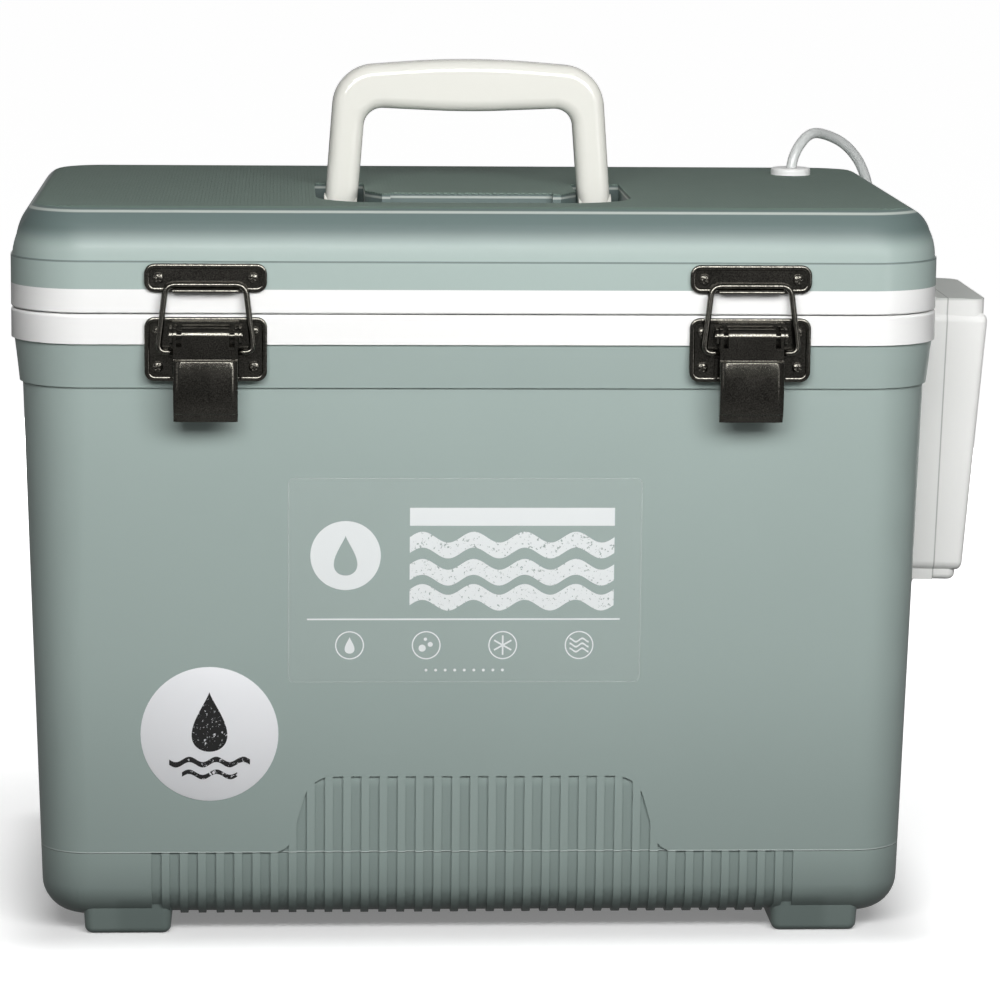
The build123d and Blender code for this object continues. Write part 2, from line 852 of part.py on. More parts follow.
def cap(near, far, side, corner_r, low, high):
    """One end cap's block between two depths, with its outer upright edges rounded."""
    half = half_w - side
    face = Pos((near + far) / 2, 0) * Rectangle(far - near, 2 * half)
    if corner_r:
        face = fillet(face.vertices().group_by(Axis.X)[-1], corner_r)
    return extrude(Pos(0, 0, low) * face, amount=high - low)


def end_caps(near, outer):
    """Both end caps, on the back case or on the cover."""
    top_far, low_far = pump_seam, pump_seam
    top_r, low_r = 0, 0
    if outer:
        top_far, low_far = pump_deep_top - cap_inset, pump_deep_low - low_cap_inset
        top_r, low_r = top_cap_r, low_cap_r
    top = cap(near, top_far, cap_inset, top_r, half_h - pump_wall, half_h + top_cap_height)
    low = cap(near, low_far, low_cap_inset, low_r, -half_h - low_cap_height, pump_wall - half_h)
    if outer:
        low = fillet(bottom_edges(low).sort_by(Axis.X)[-3:], low_cap_edge_r)
    return top + low


def dovetail(grow, low, high):
    """The rail that the pump slides down onto, or the slot for it."""
    near = dovetail_near + grow
    far = dovetail_far + grow
    start = bracket_thick - 1
    end = bracket_thick + dovetail_depth + grow
    face = Polygon((start, -near), (end, -far), (end, far), (start, near), align=None)
    return extrude(Pos(0, 0, low) * face, amount=high - low)


def bracket_screw_places():
    """The four screws that hold the bracket on the tub, in the pump's own frame."""
    y = bracket_width / 2 - 7
    rise = bracket_height / 2 - 10
    return [(side * y, level * rise - bracket_drop) for side in (-1, 1) for level in (-1, 1)]


def make_pump_bracket():
    """The grey plate on the tub's side, with its dovetail rail."""
    face = Plane.YZ * Pos(0, -bracket_drop) * RectangleRounded(bracket_width, bracket_height, 4)
    plate = extrude(Pos(fit_gap / 2, 0, 0) * face, amount=bracket_thick - fit_gap / 2)
    plate += dovetail(0, dovetail_low, dovetail_high)
    high = -half_h - low_cap_height - fit_gap
    low = high - bracket_foot_height
    start = bracket_thick - 1
    foot = Polygon((start, low), (bracket_thick, low), (bracket_foot_out, high), (start, high), align=None)
    plate += extrude(Plane.XZ * foot, amount=bracket_width / 2 - 2, both=True)
    for y, z in bracket_screw_places():
        plate -= along_x(-1, y, z, screw_shank_r + screw_shank_gap, bracket_thick + 2)
        plate -= along_x(bracket_thick / 2, y, z, screw_head_r + fit_gap, bracket_foot_out)
    return pump_place * plate


def make_bracket_screws():
    """The bracket's screws, sunk in the plate and driven into the shell."""
    screws = []
    for y, z in bracket_screw_places():
        head = along_x(bracket_thick / 2, y, z, screw_head_r, bracket_thick / 2 - fit_gap)
        shank_length = shell_wall + bracket_thick / 2
        screws.append(head + along_x(-shell_wall, y, z, screw_shank_r, shank_length))
    return pump_place * (Part() + screws)


def bracket_holes():
    """The holes in the shell for the bracket's screws."""
    hole_r = screw_shank_r + screw_shank_gap
    depth = 2 * shell_wall
    holes = [along_x(-1.5 * shell_wall, y, z, hole_r, depth) for y, z in bracket_screw_places()]
    return pump_place * (Part() + holes)


def make_pump_back_case():
    """The pump's back half: a tray with the bracket slot, a partition and the outlet."""
    tray = extrude(Pos(case_back, 0, 0) * pump_outline(0), amount=pump_seam - case_back)
    room_back = case_back + pump_wall
    room = extrude(Pos(room_back, 0, 0) * pump_outline(pump_wall), amount=pump_seam)
    slot_far = case_back + dovetail_depth + 2 * pump_wall
    rail_box = box(
        case_back, slot_far, -dovetail_far - 3 * pump_wall / 2, dovetail_far + 3 * pump_wall / 2,
        dovetail_low - pump_wall, half_h - 1,
    )
    partition = box(
        case_back, pump_seam, 1 - half_w, half_w - 1,
        dovetail_low - pump_wall, dovetail_low - pump_wall / 4,
    )
    case = tray - room + rail_box + partition + end_caps(case_back, outer=False)
    case -= dovetail(fit_gap, -half_h - low_cap_height - 1, dovetail_high + fit_gap)
    case -= along_y(outlet_x, 0, outlet_z, barb_r + fit_gap, pump_width)
    return pump_place * case


def cover_form(inset):
    """The cover's outer form, deeper at the top than at the bottom, shrunk by an inset."""
    deep = pump_deep_top - inset
    form = extrude(Pos(pump_seam, 0, 0) * pump_outline(inset), amount=deep - pump_seam, taper=cover_draft)
    lost = pump_deep_top - pump_deep_low
    wedge = Polygon(
        (deep, half_h), (deep + 20, half_h), (deep + 20, -half_h), (deep - lost, -half_h),
        align=None,
    )
    form -= extrude(Plane.XZ * wedge, amount=pump_width, both=True)
    outer_face = form.faces().sort_by(Axis.X)[-1]
    return fillet(outer_face.edges(), pump_edge_r - inset)


def knob_slot():
    """The slot in the cover for the switch's stem, in the face's frame."""
    half = stem_width / 2 + fit_gap
    low = knob_middle - half
    high = knob_middle + half + knob_travel
    return box(-2 * pump_wall, 2 * pump_wall, -half, half, low, high)


def make_pump_cover():
    """The pump's outer shell, with the slot for its switch."""
    shell = cover_form(0) - (cover_form(pump_wall) + extrude(
        Pos(pump_seam - 1, 0, 0) * pump_outline(pump_wall), amount=1.5))
    shell = pump_place * (shell + end_caps(pump_seam, outer=True))
    return shell - face_place * knob_slot()


def make_pump_switch():
    """The sliding switch: a ribbed cap, a stem and the plate that keeps it in."""
    half_y = knob_width / 2
    low = knob_middle - knob_height / 2
    high = knob_middle + knob_height / 2
    cap = box(fit_gap, knob_out, -half_y, half_y, low, high)
    cap = fillet(cap.edges().group_by(Axis.X)[-1], knob_edge_r)
    half = stem_width / 2
    keep_far = -pump_wall - fit_gap
    stem = box(keep_far - 1, 1, -half, half, knob_middle - half, knob_middle + half)
    keep = box(keep_far - keep_thick, keep_far, -half_y, half_y, low, high)
    return face_place * (cap + stem + keep)


def make_pump_cells():
    """The two dry cells that drive the motor."""
    cells = []
    for y in (-cell_y, cell_y):
        cell = Pos(cell_x, y, cell_low + battery_length / 2) * Cylinder(battery_r, battery_length)
        cell = fillet(cell.edges(), cell_edge_r)
        tip = Pos(cell_x, y, cell_low + battery_length) * Cylinder(cell_tip_r, 2 * cell_tip_height)
        cells.append(cell + tip)
    return pump_place * (Part() + cells)


def make_cell_contacts():
    """The spring strips at both ends of the cells."""
    near, far = cell_x - contact_half, cell_x + contact_half
    reach = cell_y + contact_half
    low = cell_low - contact_thick - fit_gap
    strip = box(near, far, -reach, reach, low, low + contact_thick)
    high = cell_low + battery_length + cell_tip_height + fit_gap
    tabs = [
        box(near, far, y - contact_half, y + contact_half, high, high + contact_thick)
        for y in (-cell_y, cell_y)
    ]
    return pump_place * (Part() + [strip] + tabs)


def make_pump_motor():
    """The motor's can, with the bore its shaft turns in."""
    can = Pos(motor_x, motor_y, motor_low + motor_length / 2) * Cylinder(motor_r, motor_length)
    can = fillet(can.edges(), motor_edge_r)
    boss = Pos(motor_x, motor_y, motor_low + motor_length) * Cylinder(
        motor_boss_r, motor_boss_height
    )
    bore = Pos(motor_x, motor_y, motor_low + motor_length) * Cylinder(
        motor_shaft_r + running_gap, motor_length
    )
    return pump_place * (can + boss - bore)


def make_motor_shaft():
    """The motor's shaft."""
    low = motor_low + motor_length / 2 + 1
    high = eccentric_high - 0.5
    shaft = Pos(motor_x, motor_y, (low + high) / 2) * Cylinder(motor_shaft_r, high - low)
    return pump_place * shaft


def make_eccentric():
    """The wheel on the shaft, with the crank pin that works the diaphragm's arm."""
    middle = (eccentric_low + eccentric_high) / 2
    wheel = Pos(motor_x, motor_y, middle) * Cylinder(eccentric_r, eccentric_high - eccentric_low)
    pin_high = arm_low + arm_thick + 0.6
    pin_low = eccentric_high - 1
    pin = Pos(motor_x + crank_throw, motor_y, (pin_low + pin_high) / 2) * Cylinder(
        crank_r, pin_high - pin_low
    )
    bore = Pos(motor_x, motor_y, eccentric_low) * Cylinder(
        motor_shaft_r + running_gap / 2, 2 * (eccentric_high - eccentric_low) - 0.8
    )
    return pump_place * (wheel + pin - bore)


diaphragm_near = 8.0
diaphragm_depth = 5.0
diaphragm_r = 9.0
head_far = half_w - pump_wall - 4.5
head_half = 10.0


def make_diaphragm_arm():
    """The arm between the crank pin and the diaphragm; its eye clears the pin's circle."""
    eye_r = crank_throw + crank_r + 0.3
    middle_z = arm_low + arm_thick / 2
    eye = Pos(motor_x, motor_y, middle_z) * Cylinder(eye_r + 1.8, arm_thick)
    bar = box(
        motor_x - 2, motor_x + 2, motor_y, diaphragm_near - fit_gap,
        arm_low, arm_low + arm_thick,
    )
    hole = Pos(motor_x, motor_y, middle_z) * Cylinder(eye_r, 2 * arm_thick)
    return pump_place * (eye + bar - hole)


def make_diaphragm():
    """The rubber cup that the arm pushes and pulls."""
    cup = along_y(motor_x, diaphragm_near, outlet_z, diaphragm_r, diaphragm_depth)
    return pump_place * fillet(cup.edges().group_by(Axis.Y)[0], 2.0)


def make_pump_head():
    """The valve block behind the diaphragm, with the barbed outlet for the hose."""
    near = diaphragm_near + diaphragm_depth + fit_gap
    low_x = outlet_x - 3.0 + fit_gap
    valve_block = box(
        low_x, motor_x + diaphragm_r - 2, near, head_far, outlet_z - head_half, outlet_z + head_half
    )
    tube_length = half_w + barb_reach - head_far
    tube = along_y(outlet_x, head_far, outlet_z, barb_r, tube_length)
    return pump_place * (valve_block + tube)


# ---- air hose ----
barb_tip = pump_place * Pos(outlet_x, half_w + barb_reach, outlet_z)
barb_x, barb_y, barb_z = barb_tip.position
stone_z = liner_floor_z + stone_r + fit_gap / 2
hose_route = [
    (grommet_x, grommet_y, 343.3),
    (grommet_x, grommet_y, 352.0),
    (171.6, 75.5, 361.4),
    (179.2, 83.4, 368.6),
    (189.5, 96.6, 366.4),
    (201.1, 106.4, 360.5),
    (211.0, 114.7, 348.5),
    (216.6, 120.6, 329.5),
    (220.2, 121.6, 309.5),
    (225.2, 115.2, 290.2),
    (227.9, 98.0, 275.4),
    (barb_x, 73.5, barb_z),
    (barb_x, barb_y, barb_z),
]
drop_route = [
    (grommet_x, grommet_y, 336.0),
    (grommet_x, grommet_y, 298.0),
    (167.6, 75.5, 252.0),
    (166.6, 79.3, 210.0),
    (165.3, 83.0, 170.0),
    (164.1, 85.2, 134.0),
    (162.4, 84.8, 101.0),
    (158.4, 84.0, 67.0),
    (156.2, 78.0, 56.0),
    (155.0, 68.0, stone_z),
    (155.0, 54.0, stone_z),
]


def leg(a, b):
    """The vector from one route point to the next."""
    return Vector(*b) - Vector(*a)


def route_radii(points):
    """The arc radius at each inner point: 0.45 of the shorter run over tan(half the turn)."""
    radii = []
    for before, here, after in zip(points, points[1:], points[2:]):
        first, second = leg(before, here), leg(here, after)
        turn = math.radians(first.get_angle(second))
        radii.append(0.45 * min(first.length, second.length) / math.tan(turn / 2))
    return radii


def hose_along(points):
    """A solid hose whose middle follows straight runs and tangent arcs."""
    path = FilletPolyline(*points, radius=route_radii(points))
    start = Plane(origin=path @ 0, z_dir=path % 0)
    hose = sweep(start * Circle(hose_r), path=path)
    section = math.pi * hose_r**2
    print(
        "hose length", round(path.length, 1),
        "radii", [round(radius) for radius in route_radii(points)],
        "volume over section times length", round(hose.volume / section / path.length, 4),
    )
    return hose


def make_hose_grommet():
    """The white bush in the lid: a flange, a stem, and a seat for each hose."""
    head = Pos(grommet_x, grommet_y, lid_top + grommet_head / 2) * Cylinder(grommet_r, grommet_head)
    head = fillet(head.edges().group_by(Axis.Z)[-1], head_edge_r)
    stem_low = lid_top - grommet_stem
    stem = Pos(grommet_x, grommet_y, (stem_low + lid_top) / 2) * Cylinder(
        grommet_stem_r, lid_top - stem_low
    )
    seat_r = hose_r + 1.5 * fit_gap
    upper_seat = hose_route[0][2]
    upper = Pos(grommet_x, grommet_y, upper_seat + 10) * Cylinder(seat_r, 20)
    lower_seat = drop_route[0][2]
    lower = Pos(grommet_x, grommet_y, lower_seat - 10) * Cylinder(seat_r, 20)
    way = Pos(grommet_x, grommet_y, lid_top) * Cylinder(hose_bore_r, 4 * grommet_stem)
    return head + stem - upper - lower - way


def make_air_stone():
    """The porous stone that lies on the liner's floor, with its nipple."""
    end_x, end_y, end_z = drop_route[-1]
    stone_far = end_y - nipple_length
    stone = along_y(end_x, stone_far - stone_length, end_z, stone_r, stone_length)
    stone = fillet(stone.edges(), stone_edge_r)
    return stone + along_y(end_x, stone_far - 1, end_z, nipple_r, nipple_length + 1)


# ---- writing the parts ----
makers = {
    "tub_shell": lambda: make_tub_shell() - bracket_holes(),
    "tub_liner": make_tub_liner,
    "tub_insulation": make_tub_insulation,
    "hinge_pins": make_hinge_pins,
    "lid_shell": make_lid_shell,
    "lid_liner": make_lid_liner,
    "lid_insulation": make_lid_insulation,
    "lid_gasket": make_lid_gasket,
    "handle": make_handle,
    "handle_pins": make_handle_pins,
    "pump_bracket": make_pump_bracket,
    "bracket_screws": make_bracket_screws,
    "pump_back_case": make_pump_back_case,
    "pump_cover": make_pump_cover,
    "pump_switch": make_pump_switch,
    "pump_cells": make_pump_cells,
    "cell_contacts": make_cell_contacts,
    "pump_motor": make_pump_motor,
    "motor_shaft": make_motor_shaft,
    "eccentric": make_eccentric,
    "diaphragm_arm": make_diaphragm_arm,
    "diaphragm": make_diaphragm,
    "pump_head": make_pump_head,
    "hose_grommet": make_hose_grommet,
    "air_stone": make_air_stone,
    "outer_hose": lambda: hose_along(hose_route),
    "inner_hose": lambda: hose_along(drop_route),
}
for side_name, side_x in (("left", -latch_x), ("right", latch_x)):
    makers[f"{side_name}_latch_base"] = lambda x=side_x: make_latch_base(x)
    makers[f"{side_name}_keeper"] = lambda x=side_x: make_keeper(x)
    makers[f"{side_name}_lever"] = lambda x=side_x: make_lever(x)
    makers[f"{side_name}_lever_pin"] = lambda x=side_x: make_lever_pin(x)
    makers[f"{side_name}_bail"] = lambda x=side_x: make_bail(x)
makers["base_screws"] = lambda: Part() + [
    screw(*place) for x in (-latch_x, latch_x) for place in base_screw_places(x)
]
makers["keeper_screws"] = lambda: Part() + [
    screw(*place) for x in (-latch_x, latch_x) for place in keeper_screw_places(x)
]

built = {name: make() for name, make in makers.items()}
boxes = [shape.bounding_box() for name, shape in built.items() if not name.endswith("hose")]
middle_x = (min(limits.min.X for limits in boxes) + max(limits.max.X for limits in boxes)) / 2
middle_y = (min(limits.min.Y for limits in boxes) + max(limits.max.Y for limits in boxes)) / 2
print("moved by", round(-middle_x, 4), round(-middle_y, 4))
for name, shape in built.items():
    export_step(Pos(-middle_x, -middle_y, 0) * shape, f"parts/{name}.step")
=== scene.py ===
# %% [markdown]
# # An aerated bait bucket
# A live-bait bucket is a small insulated box. A grey-green pearl shell and a white liner are
# moulded apart, foam fills the gap between them, and a battery air pump on the side blows
# through a thin hose into the water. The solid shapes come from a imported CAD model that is
# loaded as a fixed frame. Everything here is built round it, in metres, with +Z up.

# %% Load the frame
import json
import math

import bmesh
import bpy
import numpy as np
from mathutils import Matrix, Vector


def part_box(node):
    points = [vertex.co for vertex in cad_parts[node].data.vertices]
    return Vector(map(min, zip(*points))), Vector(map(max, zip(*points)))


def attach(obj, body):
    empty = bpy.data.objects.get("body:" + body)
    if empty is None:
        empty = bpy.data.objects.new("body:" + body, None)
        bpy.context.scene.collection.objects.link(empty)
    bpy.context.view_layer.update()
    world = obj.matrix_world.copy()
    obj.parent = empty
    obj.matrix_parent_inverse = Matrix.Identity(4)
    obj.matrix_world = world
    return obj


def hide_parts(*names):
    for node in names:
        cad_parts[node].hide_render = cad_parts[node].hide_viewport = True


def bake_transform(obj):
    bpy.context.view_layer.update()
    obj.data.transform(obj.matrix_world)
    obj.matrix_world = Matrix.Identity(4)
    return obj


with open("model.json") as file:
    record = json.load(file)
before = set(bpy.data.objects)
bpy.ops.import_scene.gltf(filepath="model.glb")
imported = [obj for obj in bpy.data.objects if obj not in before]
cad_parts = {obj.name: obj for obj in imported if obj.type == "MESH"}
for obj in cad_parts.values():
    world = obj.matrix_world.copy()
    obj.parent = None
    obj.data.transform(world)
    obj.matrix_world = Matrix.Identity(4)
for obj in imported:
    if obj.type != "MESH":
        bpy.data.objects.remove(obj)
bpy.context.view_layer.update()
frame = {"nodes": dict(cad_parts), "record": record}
mm = 0.001
slot_of = {part["node"]: part["material_slot"] for part in frame["record"]["subparts"]}
body_of = {
    node: body
    for body, nodes in frame["record"]["behaviour"]["bodies"].items()
    for node in nodes
}

# %% [markdown]
# The bucket's own middle isn't the row's origin, because the pump hangs on one side. The white
# liner's rim runs all round, so its box gives that middle. Places below are then written in
# millimetres from the bucket's middle, as on a maker's drawing.

# %% The middle of the bucket
rim_depth = 258.0
liner_low, liner_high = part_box("tub_liner")
middle = Vector(((liner_low.x + liner_high.x) / 2, liner_low.y + rim_depth / 2 * mm, 0.0))


def from_drawing(points):
    """Millimetres from the bucket's middle become metres in the row frame."""
    return np.asarray(points, float) * mm + np.array(middle)


print("middle", [round(value / mm, 2) for value in middle])

# %% [markdown]
# ## The camera
# A product camera stands about two metres off with a long lens, so the box hardly tapers. A
# camera looks along its own -Z, so its matrix has the view's right, up and back as columns.
# Building those from yaw, pitch and roll keeps each turn a number that can be read.

# %% Camera
camera_place = Vector((-0.108565, -2.046036, 0.524901))
yaw = math.radians(2.956)
pitch = math.radians(9.216)
roll = math.radians(0.489)
forward = Vector((
    math.sin(yaw) * math.cos(pitch), math.cos(yaw) * math.cos(pitch), -math.sin(pitch),
))
level = Vector((math.cos(yaw), -math.sin(yaw), 0.0))
above = level.cross(forward)
right = level * math.cos(roll) + above * math.sin(roll)
top = above * math.cos(roll) - level * math.sin(roll)
turn = Matrix((right, top, -forward)).transposed().to_4x4()
lens = bpy.data.cameras.new("camera")
lens.sensor_width = 36.0
lens.lens = 150.48
lens.shift_x = 0.00591
lens.shift_y = -0.00199
lens.clip_end = 100.0
camera = bpy.data.objects.new("camera", lens)
camera.matrix_world = Matrix.Translation(camera_place) @ turn
bpy.context.scene.collection.objects.link(camera)
bpy.context.scene.camera = camera
print("camera", [round(value, 3) for value in camera_place], "lens", round(lens.lens, 1), "mm")

# %% [markdown]
# ## Surfaces from arrays
# A smooth shape can be pushed about by hand, or worked out: a function of two parameters gives
# a grid of points, and each four neighbours make a face. The second way is exact, and the whole
# grid is one array, so it is quick too.


# %% Grid meshes
def grid_faces(rows, columns, start):
    """Corner numbers of the quads between the rows and columns of a grid."""
    row, column = np.meshgrid(np.arange(rows - 1), np.arange(columns - 1), indexing="ij")
    corner = (start + row * columns + column).ravel()
    return np.column_stack([corner, corner + 1, corner + columns + 1, corner + columns])


def new_piece(name, grids, material, weld=1e-7):
    """One mesh object from grids of points, each an array of rows by columns by three."""
    points = np.concatenate([grid.reshape(-1, 3) for grid in grids])
    starts = np.cumsum([0] + [grid.shape[0] * grid.shape[1] for grid in grids])
    faces = np.concatenate(
        [grid_faces(grid.shape[0], grid.shape[1], start) for grid, start in zip(grids, starts)]
    )
    mesh = bpy.data.meshes.new(name)
    mesh.from_pydata(points.tolist(), [], faces.tolist())
    work = bmesh.new()
    work.from_mesh(mesh)
    bmesh.ops.remove_doubles(work, verts=work.verts, dist=weld)
    bmesh.ops.recalc_face_normals(work, faces=work.faces)
    work.to_mesh(mesh)
    work.free()
    mesh.shade_smooth()
    mesh.materials.append(material)
    piece = bpy.data.objects.new(name, mesh)
    bpy.context.scene.collection.objects.link(piece)
    return piece


# %% [markdown]
# ## Materials
# A moulded surface is never one flat colour: the tone drifts a little where the resin flowed,
# the gloss changes where hands touch it, and a fine grain from the mould breaks up highlights.
# These three effects are one node group, built once, and each material sets its own amounts.


# %% Node helpers
def add_node(tree, kind, inputs=None, **settings):
    """A new node with its settings, and its sockets given a value or a link."""
    node = tree.nodes.new(kind)
    for name, value in settings.items():
        setattr(node, name, value)
    for key, value in (inputs or {}).items():
        if isinstance(value, bpy.types.NodeSocket):
            tree.links.new(value, node.inputs[key])
        else:
            node.inputs[key].default_value = value
    return node


def new_group(name, inputs, outputs):
    """An empty node group with named sockets, its input node and its output node."""
    tree = bpy.data.node_groups.new(name, "ShaderNodeTree")
    for socket, (kind, value) in inputs.items():
        made = tree.interface.new_socket(socket, in_out="INPUT", socket_type=kind)
        if value is not None:
            made.default_value = value
    for socket, kind in outputs.items():
        tree.interface.new_socket(socket, in_out="OUTPUT", socket_type=kind)
    return tree, tree.nodes.new("NodeGroupInput"), tree.nodes.new("NodeGroupOutput")


def number(value=0.0):
    """The kind and the first value of a plain number socket."""
    return ("NodeSocketFloat", value)


# %% [markdown]
# The group holds three noises of different size. The slow one drifts the tone, the middle one
# changes the gloss like the marks of hands, and the fine one is the height of a bump, the grain.
# A noise lies round a half, so a half is taken off before it is scaled. An amount of zero then
# leaves the colour or the roughness as it was given.

# %% The moulded surface group
touch_scale = 45.0
grain_relief = 0.4 * mm
moulded, given, result = new_group(
    "moulded_surface",
    {
        "Vector": ("NodeSocketVector", None),
        "Color": ("NodeSocketColor", None),
        "Tone Amount": number(0.05),
        "Tone Scale": number(6.0),
        "Roughness": number(0.4),
        "Roughness Amount": number(0.08),
        "Grain Scale": number(900.0),
        "Grain Height": number(0.02),
        "Normal": ("NodeSocketVector", None),
    },
    {"Color": "NodeSocketColor", "Roughness": "NodeSocketFloat", "Normal": "NodeSocketVector"},
)
drift = add_node(moulded, "ShaderNodeTexNoise", {
    "Vector": given.outputs["Vector"], "Scale": given.outputs["Tone Scale"], "Detail": 3.0,
})
drift_swing = add_node(moulded, "ShaderNodeMath", {
    0: drift.outputs["Fac"], 1: 0.5,
}, operation="SUBTRACT")
tone = add_node(moulded, "ShaderNodeMath", {
    0: drift_swing.outputs[0], 1: given.outputs["Tone Amount"], 2: 1.0,
}, operation="MULTIPLY_ADD")
tinted = add_node(moulded, "ShaderNodeVectorMath", {
    0: given.outputs["Color"], "Scale": tone.outputs[0],
}, operation="SCALE")
touch = add_node(moulded, "ShaderNodeTexNoise", {
    "Vector": given.outputs["Vector"], "Scale": touch_scale, "Detail": 4.0, "Roughness": 0.6,
})
touch_swing = add_node(moulded, "ShaderNodeMath", {
    0: touch.outputs["Fac"], 1: 0.5,
}, operation="SUBTRACT")
gloss = add_node(moulded, "ShaderNodeMath", {
    0: touch_swing.outputs[0], 1: given.outputs["Roughness Amount"], 2: given.outputs["Roughness"],
}, operation="MULTIPLY_ADD")
grain = add_node(moulded, "ShaderNodeTexNoise", {
    "Vector": given.outputs["Vector"], "Scale": given.outputs["Grain Scale"], "Detail": 2.0,
})
relief = add_node(moulded, "ShaderNodeBump", {
    "Height": grain.outputs["Fac"], "Strength": given.outputs["Grain Height"],
    "Distance": grain_relief, "Normal": given.outputs["Normal"],
})
moulded.links.new(tinted.outputs[0], result.inputs["Color"])
moulded.links.new(gloss.outputs[0], result.inputs["Roughness"])
moulded.links.new(relief.outputs[0], result.inputs["Normal"])
print("group", moulded.name, len(moulded.nodes), "nodes")


# %% [markdown]
# Each finish is a Principled shader. Numbers that are the same all over, such as metallic or
# coat, sit on the shader's own sockets. Only what changes over the surface comes from the group.


# %% Making a finish
def new_finish(name, color, rough, sockets=None, **amounts):
    """A material whose colour, roughness and normal come from the moulded surface group."""
    finish = bpy.data.materials.new(name)
    finish.use_nodes = True
    tree = finish.node_tree
    shader = tree.nodes["Principled BSDF"]
    place = add_node(tree, "ShaderNodeTexCoord")
    group = add_node(tree, "ShaderNodeGroup", node_tree=moulded)
    tree.links.new(place.outputs["Object"], group.inputs["Vector"])
    group.inputs["Color"].default_value = (*color, 1.0)
    group.inputs["Roughness"].default_value = rough
    for socket, value in amounts.items():
        group.inputs[socket.replace("_", " ")].default_value = value
    flat = add_node(tree, "ShaderNodeNewGeometry")
    tree.links.new(flat.outputs["Normal"], group.inputs["Normal"])
    tree.links.new(group.outputs["Color"], shader.inputs["Base Color"])
    tree.links.new(group.outputs["Roughness"], shader.inputs["Roughness"])
    tree.links.new(group.outputs["Normal"], shader.inputs["Normal"])
    for socket, value in (sockets or {}).items():
        shader.inputs[socket].default_value = value
    return finish


# %% [markdown]
# The record gives each piece a material slot, and each slot gets one finish. The shell and the
# pump's case have finishes of their own later, so their sockets and amounts are named once here
# and used twice. Nickel plating gets its dark, uneven tone from a large amount of a fine drift.

# %% Finishes
pearl = (0.36, 0.44, 0.415)
shell_sockets = {"Metallic": 0.10, "Coat Weight": 0.35, "Coat Roughness": 0.12}
shell_amounts = dict(Tone_Amount=0.10, Tone_Scale=5.0, Grain_Scale=1500.0, Grain_Height=0.05)
pump_white = (0.90, 0.90, 0.88)
pump_sockets = {"Specular IOR Level": 0.35}
pump_amounts = dict(Tone_Amount=0.04, Grain_Scale=2200.0, Grain_Height=0.08)
finishes = {
    "shell_plastic": new_finish("pearl_shell", pearl, 0.42, shell_sockets, **shell_amounts),
    "white_plastic": new_finish(
        "white_liner", (0.86, 0.86, 0.85), 0.32, {"Coat Weight": 0.2},
        Tone_Amount=0.03, Grain_Scale=1200.0, Grain_Height=0.02,
    ),
    "handle_plastic": new_finish(
        "cream_handle", (0.77, 0.765, 0.71), 0.20, {"Coat Weight": 0.5, "Coat Roughness": 0.06},
        Tone_Amount=0.04, Grain_Scale=700.0, Grain_Height=0.015,
    ),
    "pump_plastic": new_finish("pump_white", pump_white, 0.52, pump_sockets, **pump_amounts),
    "bracket_plastic": new_finish(
        "bracket_grey", (0.62, 0.63, 0.62), 0.42,
        Tone_Amount=0.05, Grain_Scale=2200.0, Grain_Height=0.08,
    ),
    "foam": new_finish(
        "foam_cream", (0.72, 0.66, 0.42), 0.85,
        Tone_Amount=0.25, Tone_Scale=60.0, Grain_Scale=420.0, Grain_Height=0.9,
    ),
    "latch_metal": new_finish(
        "dark_nickel", (0.125, 0.12, 0.105), 0.20, {"Metallic": 1.0}, Roughness_Amount=0.2,
        Tone_Amount=3.2, Tone_Scale=1900.0, Grain_Scale=2400.0, Grain_Height=0.06,
    ),
    "steel": new_finish(
        "plain_steel", (0.52, 0.52, 0.51), 0.30, {"Metallic": 1.0},
        Tone_Amount=0.12, Tone_Scale=80.0, Grain_Scale=1500.0, Grain_Height=0.05,
    ),
    "rubber": new_finish(
        "white_rubber", (0.80, 0.80, 0.78), 0.48,
        Tone_Amount=0.06, Tone_Scale=30.0, Grain_Scale=1500.0, Grain_Height=0.15,
    ),
    "hose_silicone": new_finish(
        "milky_hose", (0.66, 0.68, 0.67), 0.28,
        {"Subsurface Weight": 0.35, "Subsurface Radius": (0.004, 0.004, 0.004), "Coat Weight": 0.3},
        Tone_Amount=0.06, Tone_Scale=25.0, Grain_Scale=600.0, Grain_Height=0.03,
    ),
    "cell_metal": new_finish(
        "cell_sleeve", (0.45, 0.46, 0.48), 0.32, {"Metallic": 0.8},
        Tone_Amount=0.08, Tone_Scale=40.0, Grain_Scale=900.0, Grain_Height=0.04,
    ),
    "contact_brass": new_finish(
        "brass_contact", (0.72, 0.55, 0.24), 0.30, {"Metallic": 1.0},
        Tone_Amount=0.15, Tone_Scale=90.0, Grain_Scale=900.0, Grain_Height=0.05,
    ),
    "stone": new_finish(
        "air_stone_blue", (0.20, 0.30, 0.42), 0.9,
        Tone_Amount=0.5, Tone_Scale=300.0, Grain_Scale=500.0, Grain_Height=1.0,
    ),
}
print("finishes", len(finishes))

# %% [markdown]
# Zones on a shell need no separate pieces. A value such as a point's height goes from 0 to 1
# over a short way, which makes a mask. A rising and a falling mask multiplied make a band, and
# a mix takes one colour inside the mask and the other outside it.


# %% Mask helpers
def height_of(tree):
    """Object coordinates split into x, y and z."""
    place = add_node(tree, "ShaderNodeTexCoord")
    return add_node(tree, "ShaderNodeSeparateXYZ", {0: place.outputs["Object"]})


def ramp(tree, value, low, high, start=0.0, end=1.0):
    """A smooth step from start to end as the value goes from low to high."""
    return add_node(tree, "ShaderNodeMapRange", {
        0: value, "From Min": low, "From Max": high, "To Min": start, "To Max": end,
    }, interpolation_type="SMOOTHSTEP").outputs[0]


def maths(tree, operation, *values):
    """The output of one Math node on the values."""
    return add_node(tree, "ShaderNodeMath", dict(enumerate(values)), operation=operation).outputs[0]


